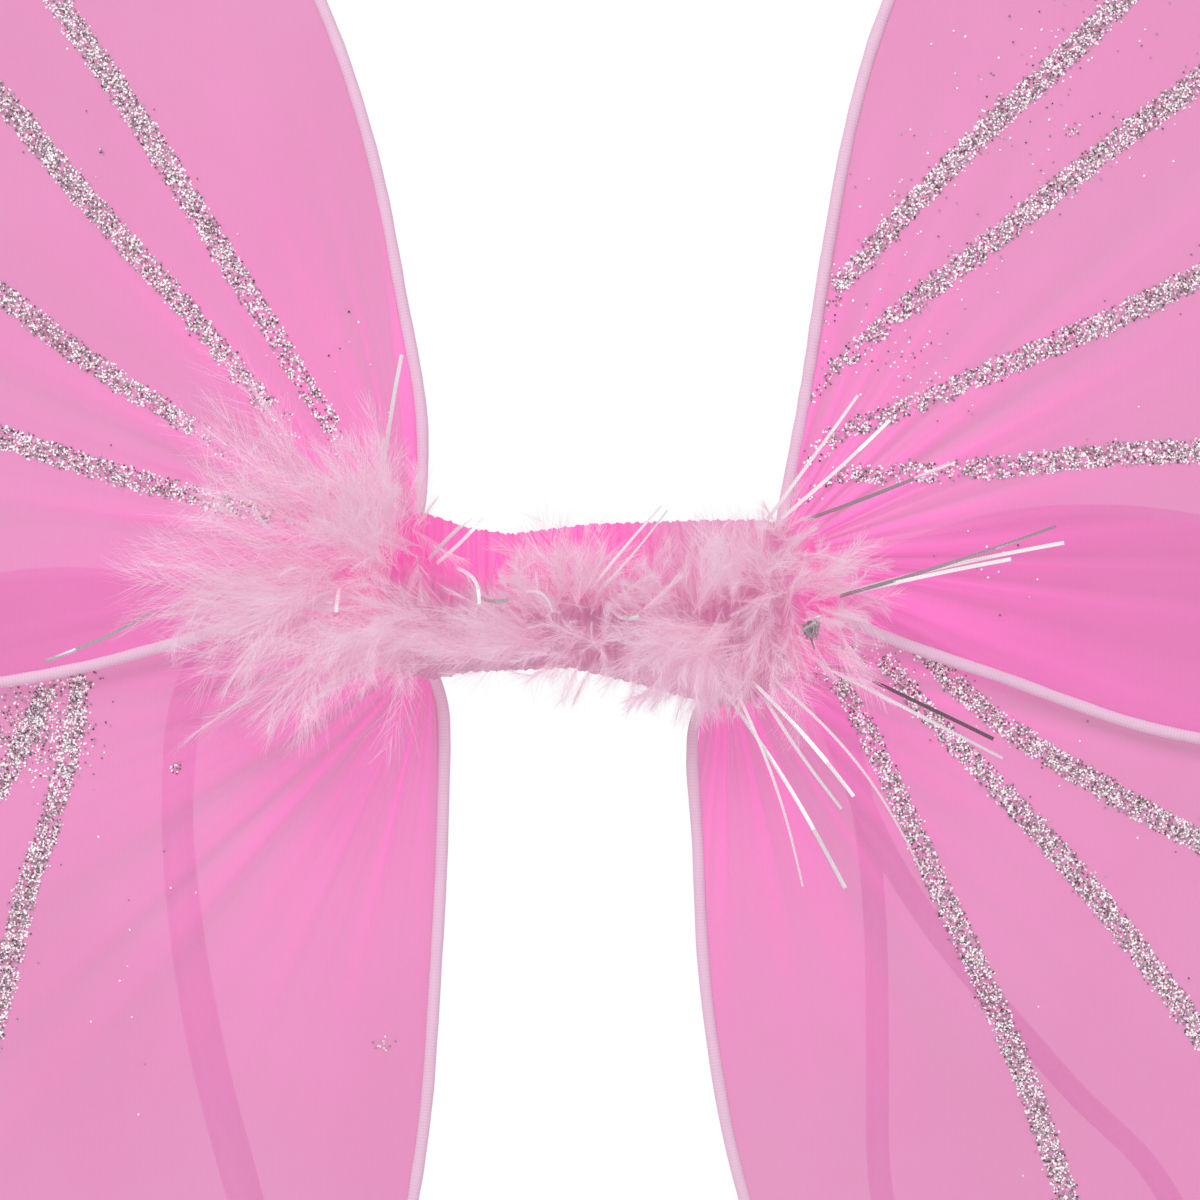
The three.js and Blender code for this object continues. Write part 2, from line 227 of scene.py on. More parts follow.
def run_lengths(points: Array) -> Array:
    """Distance run along a line at each of its points, from 0."""
    return np.concatenate([[0], np.cumsum(np.linalg.norm(np.diff(points, axis=0), axis=1))])


def tube_points(path: Array, sides: Array, lifts: Array, half_width: Array | float,
                half_depth: Array | float, corners: int, power: float = 1.0) -> Array:
    """Rings of points round a path.

    Args:
        path: The points of the path.
        sides: Direction of the section's width at each point.
        lifts: Direction of the section's depth at each point.
        half_width: Half the section's width, one number or one for each point.
        half_depth: Half its depth, likewise.
        corners: Points in a ring.
        power: Below 1 the section is boxier than an ellipse.

    Returns:
        The rings, one after another.
    """
    angle = ring_angles(corners)
    wide = np.sign(np.cos(angle)) * np.abs(np.cos(angle)) ** power
    deep = np.sign(np.sin(angle)) * np.abs(np.sin(angle)) ** power
    widths = np.broadcast_to(np.asarray(half_width, float), len(path))[:, None, None]
    painted_shade_depths = np.broadcast_to(np.asarray(half_depth, float), len(path))[:, None, None]
    rings = (path[:, None] + sides[:, None] * widths * wide[None, :, None]
             + lifts[:, None] * painted_shade_depths * deep[None, :, None])
    return rings.reshape(-1, 3)


def close_ends(obj: bpy.types.Object) -> bpy.types.Object:
    """Closes the open ends of a tube and turns its faces outwards.

    Args:
        obj: The tube.

    Returns:
        The same object.
    """
    shape = bmesh.new()
    shape.from_mesh(obj.data)
    bmesh.ops.holes_fill(shape, edges=[e for e in shape.edges if e.is_boundary], sides=0)
    bmesh.ops.recalc_face_normals(shape, faces=shape.faces)
    shape.to_mesh(obj.data)
    shape.free()
    return obj


def set_values(mesh: bpy.types.Mesh, name: str, numbers: Array) -> None:
    """Holds one number for each vertex of a mesh under a name, for its finish to read."""
    layer = mesh.attributes.new(name, "FLOAT", "POINT")
    layer.data.foreach_set("value", np.ascontiguousarray(numbers, np.float32))


def wander(points: Array, rng: np.random.Generator, size: float, waves: int = 7) -> Array:
    """Slow random variation over a surface, from about -1 to 1.

    Args:
        points: Places in metres, one row each.
        rng: The source of random numbers.
        size: Rough size of the patches, in metres.
        waves: How many plane waves are added.

    Returns:
        One number for each point.
    """
    total = np.zeros(len(points))
    for _ in range(waves):
        direction = unit(rng.normal(size=points.shape[1]))
        reach = size * rng.uniform(0.6, 1.7)
        total += np.sin(points @ direction * 2 * math.pi / reach + rng.uniform(0, 2 * math.pi))
    return total / math.sqrt(waves) * 0.8


class Bench:
    """Modelling by hand with operators, with everything deselected first."""

    @staticmethod
    def clear() -> None:
        """Deselects every object."""
        bpy.ops.object.select_all(action="DESELECT")

    @staticmethod
    def take(obj: bpy.types.Object) -> None:
        """Makes an object the only one selected, and the active one."""
        Bench.clear()
        obj.select_set(True)
        bpy.context.view_layer.objects.active = obj

    @staticmethod
    def named(name: str, material: bpy.types.Material | None = None) -> bpy.types.Object:
        """Names the object just added, with its place moved into its mesh.

        Args:
            name: The piece's name.
            material: Its finish, or None for a shape that is only copied.

        Returns:
            The object.
        """
        obj = bpy.context.active_object
        obj.name = obj.data.name = name
        bpy.ops.object.transform_apply(location=True, rotation=True, scale=True)
        if material:
            obj.data.materials.append(material)
        return obj

    @staticmethod
    def pick(obj: bpy.types.Object, test: Callable[[Vector, Vector], bool]) -> None:
        """Selects the faces of an object whose centre and normal pass a test, in edit mode.

        Args:
            obj: The object.
            test: Given a face's centre and normal, says whether it is selected.
        """
        for polygon in obj.data.polygons:
            polygon.select = bool(test(polygon.center, polygon.normal))
        for edge in obj.data.edges:
            edge.select = False
        for vertex in obj.data.vertices:
            vertex.select = False
        bpy.ops.object.mode_set(mode="EDIT")
        bpy.ops.mesh.select_mode(type="FACE")

    @staticmethod
    def finish(obj: bpy.types.Object, kind: str, **settings: object) -> None:
        """Adds a modifier to an object and applies it.

        Args:
            obj: The object.
            kind: The modifier's type.
            **settings: Its settings.
        """
        Bench.take(obj)
        modifier = obj.modifiers.new(kind.lower(), kind)
        for key, value in settings.items():
            setattr(modifier, key, value)
        bpy.ops.object.modifier_apply(modifier=modifier.name)


# ------------------------------------------------------------------ finishes


class Graph:
    """Adds and joins the nodes of one material or node group."""

    def __init__(self, tree: bpy.types.NodeTree) -> None:
        """Starts on an empty tree."""
        self.tree = tree
        tree.nodes.clear()

    def put(self, kind: str, inputs: dict | None = None, **settings: object) -> bpy.types.Node:
        """Adds a node.

        Args:
            kind: The node's type, without ShaderNode.
            inputs: A value, or another node's output, for each named or numbered input.
            **settings: The node's own settings.

        Returns:
            The node.
        """
        node = self.tree.nodes.new(kind if kind.startswith("NodeGroup") else "ShaderNode" + kind)
        for key, value in settings.items():
            setattr(node, key, value)
        for key, value in (inputs or {}).items():
            if isinstance(value, bpy.types.NodeSocket):
                self.tree.links.new(value, node.inputs[key])
            else:
                node.inputs[key].default_value = value
        return node

    def maths(self, operation: str, *values: object, clamp: bool = False) -> bpy.types.NodeSocket:
        """The output of a Math node on values or outputs."""
        node = self.put("Math", dict(enumerate(values)), operation=operation, use_clamp=clamp)
        return node.outputs[0]

    def blend(self, factor: object, first: object, second: object) -> bpy.types.NodeSocket:
        """The output of a colour Mix node."""
        inputs = {0: factor, 6: opaque(first), 7: opaque(second)}
        return self.put("Mix", inputs, data_type="RGBA").outputs[2]

    def attribute(self, name: str) -> bpy.types.NodeSocket:
        """The number that a mesh holds under a name."""
        return self.put("Attribute", attribute_name=name).outputs["Fac"]

    def place(self) -> bpy.types.NodeSocket:
        """The Object coordinates."""
        return self.put("TexCoord").outputs["Object"]

    def bump(self, height: object, strength: float, distance: float) -> bpy.types.NodeSocket:
        """The normal of a Bump node."""
        inputs = {"Height": height, "Strength": strength, "Distance": distance}
        return self.put("Bump", inputs).outputs["Normal"]

    def shade(self, **inputs: object) -> None:
        """Ends a material with a Principled shader.

        Args:
            **inputs: Its inputs, with underscores for spaces.
        """
        named = {key.replace("_", " "): opaque(value) for key, value in inputs.items()}
        shader = self.put("BsdfPrincipled", named)
        self.put("OutputMaterial", {"Surface": shader.outputs[0]})


def opaque(colour: object) -> object:
    """A colour with its fourth number, or an output as it is."""
    return (*colour, 1.0) if isinstance(colour, tuple) and len(colour) == 3 else colour


class Effects:
    """Node groups that more than one finish uses, each built once."""

    made: dict[str, bpy.types.NodeTree] = {}

    @classmethod
    def group(cls, name: str, inputs: dict[str, str], outputs: dict[str, str],
              fill: Callable[[Graph, bpy.types.NodeInputs], list]) -> bpy.types.NodeTree:
        """Makes a node group, or gives back the one already made.

        Args:
            name: The group's name.
            inputs: Socket type for each input.
            outputs: Socket type for each output.
            fill: Given the graph and the group's inputs, returns each output's source.

        Returns:
            The group.
        """
        if name not in cls.made:
            tree = bpy.data.node_groups.new(name, "ShaderNodeTree")
            for way, sockets in (("INPUT", inputs), ("OUTPUT", outputs)):
                for key, kind in sockets.items():
                    tree.interface.new_socket(key, in_out=way, socket_type="NodeSocket" + kind)
            graph = Graph(tree)
            source = graph.put("NodeGroupInput").outputs
            results = fill(graph, source)
            graph.put("NodeGroupOutput", dict(zip(outputs, results)))
            cls.made[name] = tree
        return cls.made[name]

    @classmethod
    def knit(cls) -> bpy.types.NodeTree:
        """Rows and columns of fine knitted loops."""
        def fill(g: Graph, given: bpy.types.NodeInputs) -> list:
            """Sine columns and rows, loosened by noise."""
            jitter = g.put("TexNoise", {"Vector": given["Vector"], "Scale": 90.0, "Detail": 2.0})
            parts = g.put("SeparateXYZ", {"Vector": given["Vector"]}).outputs
            turns = g.maths("DIVIDE", 2 * math.pi, given["Pitch"])
            loose = g.maths("MULTIPLY", jitter.outputs[0], 9.0)
            columns = g.maths("SINE", g.maths("MULTIPLY_ADD", parts[0], turns, loose))
            rows = g.maths("SINE", g.maths("MULTIPLY_ADD", parts[2], g.maths("MULTIPLY", turns, 1.3), loose))
            height = g.maths("MULTIPLY_ADD", rows, 0.4, columns)
            mask = g.maths("MULTIPLY_ADD", height, 0.35, 0.5, clamp=True)
            return [height, mask]
        return cls.group("knit_loops", {"Vector": "Vector", "Pitch": "Float"},
                         {"Height": "Float", "Mask": "Float"}, fill)

    @classmethod
    def blotches(cls) -> bpy.types.NodeTree:
        """Soft change between two colours in patches of a chosen size."""
        def fill(g: Graph, given: bpy.types.NodeInputs) -> list:
            """Noise drawn out into a mask between the two colours."""
            inputs = {"Vector": given["Vector"], "Scale": given["Scale"], "Detail": 4.0, "Roughness": 0.6}
            noise = g.put("TexNoise", inputs).outputs[0]
            mask = g.maths("MULTIPLY_ADD", g.maths("SUBTRACT", noise, 0.5), 3.0, 0.5, clamp=True)
            return [g.blend(mask, given["Pale"], given["Deep"]), mask]
        return cls.group("soft_blotches",
                         {"Vector": "Vector", "Scale": "Float", "Pale": "Color", "Deep": "Color"},
                         {"Color": "Color", "Mask": "Float"}, fill)

    @classmethod
    def fibres(cls) -> bpy.types.NodeTree:
        """Matted or drawn-out fibres, as a height and a mask."""
        def fill(g: Graph, given: bpy.types.NodeInputs) -> list:
            """Stretched noise, as it is and as a harder mask."""
            stretched = g.put("Mapping", {"Vector": given["Vector"], "Scale": given["Stretch"]})
            inputs = {"Vector": stretched.outputs[0], "Scale": 1.0, "Detail": 6.0, "Roughness": 0.7}
            noise = g.put("TexNoise", inputs).outputs[0]
            return [noise, g.maths("MULTIPLY_ADD", g.maths("SUBTRACT", noise, 0.5), 4.0, 0.5, clamp=True)]
        return cls.group("fibres", {"Vector": "Vector", "Stretch": "Vector"},
                         {"Height": "Float", "Mask": "Float"}, fill)


@dataclass(frozen=True)
class Finish:
    """A finish, made into a material once and shared by the pieces that have it."""

    name: str
    made: ClassVar[dict[str, bpy.types.Material]] = {}

    def material(self) -> bpy.types.Material:
        """The finish's material."""
        if self.name not in Finish.made:
            Finish.made[self.name] = bpy.data.materials.new(self.name)
            Finish.made[self.name].use_nodes = True
            self.build(Graph(Finish.made[self.name].node_tree))
        return Finish.made[self.name]

    def build(self, g: Graph) -> None:
        """Fills in the material's nodes."""
        raise NotImplementedError


@dataclass(frozen=True)
class SheerNylon(Finish):
    """Sheer knitted nylon: see-through where it is stretched, dense where it is gathered, and giving off
    painted light where it is gathered.
    """

    pale: Colour = (0.84, 0.245, 0.54)
    deep: Colour = (1.0, 0.19, 0.60)
    cover: float = 0.87
    gathered_cover: float = 0.11
    passed_light: float = 0.75
    glow: float = 0.26

    def build(self, g: Graph) -> None:
        """Colour, cover and a painted emission follow the gather held by the mesh."""
        place, gather = g.place(), g.attribute("gather")
        # Painted light: the nylon emits its deep pink in step with the gather, standing in for light
        # scattered through the folds.
        painted_glow_strength = g.maths("MULTIPLY", gather, self.glow)
        knit = g.put("Group", {"Vector": place, "Pitch": 0.45 * MM}, node_tree=Effects.knit()).outputs
        inputs = {"Vector": place, "Scale": 14.0, "Pale": opaque(self.pale),
                  "Deep": (self.pale[0] * 0.985, self.pale[1] * 0.86, self.pale[2] * 0.94, 1)}
        patches = g.put("Group", inputs, node_tree=Effects.blotches()).outputs
        colour = g.blend(gather, patches["Color"], self.deep)
        cover = g.maths("MULTIPLY_ADD", gather, self.gathered_cover, self.cover)
        loops = g.maths("MULTIPLY_ADD", knit["Mask"], 0.07, -0.035)
        dense = g.maths("ADD", cover, loops, clamp=True)
        rays = g.put("LightPath").outputs
        lighting = g.maths("MAXIMUM", rays["Is Shadow Ray"], rays["Is Diffuse Ray"])
        thinned = g.maths("MULTIPLY_ADD", lighting, -self.passed_light, 1.0)
        g.shade(Base_Color=colour, Roughness=0.5, Specular_IOR_Level=0.25,
                Alpha=g.maths("MULTIPLY", dense, thinned),
                Emission_Color=self.deep, Emission_Strength=painted_glow_strength,
                Normal=g.bump(knit["Height"], 0.12, 0.00005))


@dataclass(frozen=True)
class HemThread(Finish):
    """Overlocked edge: pale thread in close stitches over the nylon and the wire."""

    thread: Colour = (0.96, 0.63, 0.82)
    between: Colour = (0.93, 0.53, 0.76)

    def build(self, g: Graph) -> None:
        """Thread on the ribs, nylon between them."""
        place = g.place()
        fibres = g.put("Group", {"Vector": place, "Stretch": (2500, 2500, 2500)},
                       node_tree=Effects.fibres()).outputs
        rib = g.maths("MULTIPLY_ADD", fibres["Mask"], 0.25, g.attribute("rib"), clamp=True)
        inputs = {"Vector": place, "Scale": 60.0, "Pale": opaque(self.between),
                  "Deep": (*(0.9 * c for c in self.between), 1)}
        under = g.put("Group", inputs, node_tree=Effects.blotches()).outputs["Color"]
        g.shade(Base_Color=g.blend(rib, under, self.thread), Roughness=0.75,
                Normal=g.bump(fibres["Height"], 0.3, 0.0001))


@dataclass(frozen=True)
class Spangle(Finish):
    """Silver film, cut as flakes or strands, with painted reflections: each near black, grey or white by a
    tone held in its mesh, standing in for how it catches the light as it lies.
    """

    metal: float = 0.25
    rough: float = 0.3
    dark: Colour = (0.13, 0.05, 0.08)
    grey: Colour = (0.43, 0.32, 0.37)
    bright: Colour = (1.0, 0.98, 0.98)
    sparkle: float = 0.2

    def build(self, g: Graph) -> None:
        """The tone held by the mesh picks a painted reflection colour, and the higher tone values also emit
        a painted glint.
        """
        place, tone = g.place(), g.attribute("tone")
        low = g.blend(g.maths("MULTIPLY", tone, 2.0, clamp=True), self.dark, self.grey)
        high = g.maths("MULTIPLY_ADD", tone, 2.0, -1.0, clamp=True)
        scratches = g.put("Group", {"Vector": place, "Stretch": (4000, 4000, 900)},
                          node_tree=Effects.fibres()).outputs
        rough = g.maths("MULTIPLY_ADD", scratches["Mask"], 0.2, self.rough - 0.1)
        # Painted reflection: colour runs by tone from the dark through the grey to the white reflection;
        # tone values above one half emit white light as a painted glint.
        g.shade(Base_Color=g.blend(high, low, self.bright), Metallic=self.metal, Roughness=rough,
                Emission_Color=self.bright, Emission_Strength=g.maths("MULTIPLY", high, self.sparkle))


@dataclass(frozen=True)
class Down(Finish):
    """Marabou down: pale at the tips, with painted shade deep in the tuft and painted light given off all
    over.
    """

    tip: Colour = (0.85, 0.70, 0.79)
    heart: Colour = (0.86, 0.46, 0.61)
    glow: float = 0.19

    def build(self, g: Graph) -> None:
        """Colour follows the depth held by the mesh, darker and rosier deep in the tuft as painted shade,
        with a change from plume to plume.
        """
        place = g.place()
        depth = g.attribute("depth")
        inputs = {"Vector": place, "Scale": 120.0, "Pale": opaque(self.tip),
                  "Deep": (self.tip[0] * 0.97, self.tip[1] * 0.86, self.tip[2] * 0.9, 1)}
        patches = g.put("Group", inputs, node_tree=Effects.blotches()).outputs["Color"]
        # Painted shade: the depth darkens the down towards the plumes' roots and shafts, where the tuft
        # shades itself.
        colour = g.blend(depth, patches, self.heart)
        # Painted light: the down emits its own colour at a fixed strength, standing in for light scattered
        # through the barbs.
        g.shade(Base_Color=colour, Roughness=0.85, Specular_IOR_Level=0.15,
                Emission_Color=colour, Emission_Strength=self.glow)


@dataclass(frozen=True)
class Cloth(Finish):
    """Opaque cloth of matted or woven fibres, such as felt, tape and elastic."""

    pale: Colour = (0.85, 0.45, 0.62)
    deep: Colour = (0.72, 0.30, 0.48)
    stretch: Triple = (900, 900, 900)
    relief: float = 0.0003
    strength: float = 0.6
    attribute: str = ""

    def build(self, g: Graph) -> None:
        """Two shades of fibre, with a relief."""
        place = g.place()
        fibres = g.put("Group", {"Vector": place, "Stretch": self.stretch},
                       node_tree=Effects.fibres()).outputs
        mask = fibres["Mask"]
        if self.attribute:
            mask = g.maths("MULTIPLY_ADD", mask, 0.4, g.attribute(self.attribute), clamp=True)
        inputs = {"Vector": place, "Scale": 55.0, "Pale": opaque(self.deep),
                  "Deep": (*(0.86 * c for c in self.deep), 1)}
        under = g.put("Group", inputs, node_tree=Effects.blotches()).outputs["Color"]
        g.shade(Base_Color=g.blend(mask, under, self.pale), Roughness=0.9, Sheen_Weight=0.25,
                Normal=g.bump(fibres["Height"], self.strength, self.relief))


@dataclass(frozen=True)
class SteelWire(Finish):
    """Drawn steel wire with fine lines and a little dulling."""

    colour: Colour = (0.55, 0.55, 0.56)

    def build(self, g: Graph) -> None:
        """Metal with drawn lines."""
        place = g.place()
        lines = g.put("Group", {"Vector": place, "Stretch": (120, 3000, 3000)},
                      node_tree=Effects.fibres()).outputs
        rough = g.maths("MULTIPLY_ADD", lines["Mask"], 0.2, 0.28)
        dull = tuple(0.8 * c for c in self.colour)
        g.shade(Base_Color=g.blend(lines["Mask"], dull, self.colour), Metallic=0.95,
                Roughness=rough, Normal=g.bump(lines["Height"], 0.2, 0.0001))


NYLON = SheerNylon("stretched_knit")
GATHERED = SheerNylon("rucked_knit", pale=(0.85, 0.40, 0.61), deep=(1.0, 0.13, 0.52), cover=0.93,
                      gathered_cover=0.06)
HEM = HemThread("hem_thread")
GLITTER = Spangle("glitter_flakes")
TINSEL = Spangle("tinsel_film", metal=0.4, rough=0.25, sparkle=0.08)
DOWN = Down("marabou_down")
FELT = Cloth("pink_felt", stretch=(1100, 1100, 1100), relief=0.0006)
TAPE = Cloth("cloth_tape", stretch=(1800, 1800, 1800), relief=0.0002, attribute="edge")
ELASTIC = Cloth("braided_elastic", pale=(0.98, 0.86, 0.93), deep=(0.93, 0.66, 0.80),
                stretch=(2200, 2200, 2200), attribute="rib")
STEEL = SteelWire("drawn_steel")


# ------------------------------------------------------------------ stage


@dataclass(frozen=True)
class Stage:
    """Camera, lights and floor."""

    aim: Triple = (2.5 * MM, -14.5 * MM, 0.0)
    frame_width: float = 300 * MM
    distance: float = 1.5
    view_reach: float = 20.0
    sensor: float = 36.0
    surround_light: float = 0.56
    lamps: tuple[tuple[str, Triple, float, float], ...] = (
        ("key", (-0.8, -1.5, 1.5), 1.1, 17.0),
        ("fill", (1.3, -1.5, 0.3), 1.4, 4.0))
    floor_z: float = -0.262
    floor_half_width: float = 1.9
    floor_front_y: float = -1.4
    floor_back_y: float = 0.9
    floor_corner: float = 0.4

    def camera(self) -> None:
        """Sets the camera square on to the wings."""
        data = bpy.data.cameras.new("camera")
        data.sensor_width = self.sensor
        data.lens = self.sensor * self.distance / self.frame_width
        data.clip_end = self.view_reach
        camera = bpy.data.objects.new("camera", data)
        camera.location = (self.aim[0], self.aim[1] - self.distance, self.aim[2])
        camera.rotation_euler = (math.pi / 2, 0, 0)
        bpy.context.scene.collection.objects.link(camera)
        bpy.context.scene.camera = camera

    def lights(self) -> None:
        """White surroundings, a large soft key from the upper left and a low fill."""
        scene = bpy.context.scene
        scene.view_settings.view_transform = "Standard"
        world = bpy.data.worlds.new("white_studio")
        world.use_nodes = True
        g = Graph(world.node_tree)
        seen = g.put("LightPath").outputs["Is Camera Ray"]
        strength = g.maths("MULTIPLY_ADD", seen, 1 - self.surround_light, self.surround_light)
        back = g.put("Background", {"Color": (1, 1, 1, 1), "Strength": strength})
        g.put("OutputWorld", {"Surface": back.outputs[0]})
        scene.world = world
        for name, place, size, power in self.lamps:
            data = bpy.data.lights.new(name, "AREA")
            data.size = size
            data.energy = power
            light = bpy.data.objects.new(name, data)
            light.location = place
            away = np.array(place) - np.array(self.aim)
            light.rotation_euler = (math.acos(away[2] / np.linalg.norm(away)), 0,
                                    math.atan2(away[1], away[0]) + math.pi / 2)
            scene.collection.objects.link(light)

    def floor(self) -> None:
        """A pale plain floor with rounded corners."""
        Bench.clear()
        depth = self.floor_back_y - self.floor_front_y
        middle = (self.floor_back_y + self.floor_front_y) / 2
        bpy.ops.mesh.primitive_plane_add(size=1, location=(0, middle, self.floor_z))
        bpy.context.active_object.scale = (2 * self.floor_half_width, depth, 1)
        floor = Bench.named("floor")
        bpy.ops.object.mode_set(mode="EDIT")
        bpy.ops.mesh.bevel(offset=self.floor_corner, segments=12, affect="VERTICES")
        bpy.ops.object.mode_set(mode="OBJECT")
        material = bpy.data.materials.new("pale_floor")
        material.use_nodes = True
        g = Graph(material.node_tree)
        inputs = {"Vector": g.place(), "Scale": 3.0, "Pale": (0.9, 0.9, 0.9, 1),
                  "Deep": (0.87, 0.87, 0.875, 1)}
        tone = g.put("Group", inputs, node_tree=Effects.blotches()).outputs["Color"]
        g.shade(Base_Color=tone, Roughness=0.9)
        floor.data.materials.append(material)


# ------------------------------------------------------------------ arm straps


@dataclass(frozen=True)
class ArmStrap:
    """A flat braided elastic, sewn at both ends into the anchor on one wing root."""

    side: Side
    route: tuple[Triple, ...]
    width: float = 6 * MM
    thickness: float = 1.2 * MM
    step: float = 1.0 * MM
    corners: int = 28
    boxiness: float = 0.35
    braid_ridges: int = 6
    braid_relief: float = 0.13 * MM
    flat_share: float = 0.46

    def build(self) -> None:
        path = smooth_line(np.array(self.route) * MM, self.step)
        sides, lifts = carried_frames(path, np.array([0.0, 0.0, 1.0]))
        points = tube_points(path, sides, lifts, self.width / 2, self.thickness / 2, self.corners,
                             self.boxiness)
        angle = ring_angles(self.corners)
        ridge = 0.5 + 0.5 * np.cos(self.braid_ridges * math.pi * np.cos(angle))
        rows = 0.5 + 0.5 * np.cos(math.pi * np.arange(len(path)))
        rib = (0.45 * ridge[None] + 0.35 * rows[:, None]).ravel()
        centre = np.repeat(path, self.corners, axis=0)
        inward = np.abs(np.einsum("ij,ij->i", points - centre, np.repeat(sides, self.corners, axis=0)))
        flat = np.where(inward < self.width * self.flat_share, 1.0, 0.0)
        dip = self.braid_relief * (1 - rib) * flat
        lift = np.repeat(lifts, self.corners, axis=0)
        points = points - lift * (np.sign(np.einsum("ij,ij->i", points - centre, lift)) * dip)[:, None]
        strap = mesh_object(f"{self.side.word}_elastic", points,
                            grid_faces(len(path), self.corners, closed=True), ELASTIC.material(),
                            rib=rib)
        close_ends(strap)
        length = float(run_lengths(path)[-1])
        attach(strap, f"{self.side.word}_root")
        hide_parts(f"{self.side.word}_arm_strap")
        LOG.info("%s arm strap: %.0f mm of elastic", self.side.word, length / MM)


ARM_STRAPS = (
    ArmStrap(Side.LEFT, (
        (-45.6, -2.4, 4.2), (-59, -0.6, 3.6), (-78, 2.2, 0.8), (-94, 4.2, -8), (-103, 5, -25),
        (-105.5, 5, -52), (-103.5, 5, -84), (-98.5, 6, -115), (-91, 8, -145), (-83.5, 12, -170),
        (-79.5, 20, -184), (-81.5, 29, -175), (-88.5, 33, -150), (-97, 33, -117), (-103, 31, -82),
        (-105, 27, -52), (-101, 21, -27), (-89, 14, -13), (-73, 6.5, -7), (-57, 0.6, -4.8),
        (-45.6, -2.4, -4.2))),
    ArmStrap(Side.RIGHT, (
        (45.6, -2.4, 4.2), (50.5, -1.6, 3.4), (58, 2.6, -9), (64.5, 5.2, -32), (70, 6, -58),
        (72.3, 6, -84), (72.8, 6, -110), (73.8, 6, -150), (80, 6, -172), (96, 5.5, -187),
        (120, 4.5, -191), (142, 3.5, -182), (151, 2.6, -165), (142.5, 2.2, -145), (123, 2, -125),
        (107.5, 1.8, -107.5), (90, 1.6, -87), (76, 1.2, -66), (64.5, 0.4, -41), (56, -1, -18),
        (50.5, -2, -6.4), (45.6, -2.4, -4.2))),
)


# ------------------------------------------------------------------ wings


def node_points(node: str) -> Array:
    """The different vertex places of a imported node."""
    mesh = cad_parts[node].data
    points = np.empty(len(mesh.vertices) * 3, np.float32)
    mesh.vertices.foreach_get("co", points)
    return np.unique(points.reshape(-1, 3).astype(float).round(6), axis=0)


def node_triangles(node: str) -> Array:
    """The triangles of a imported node, as an array of corner places."""
    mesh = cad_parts[node].data
    points = np.array([v.co for v in mesh.vertices])
    mesh.calc_loop_triangles()
    return points[np.array([t.vertices for t in mesh.loop_triangles])]


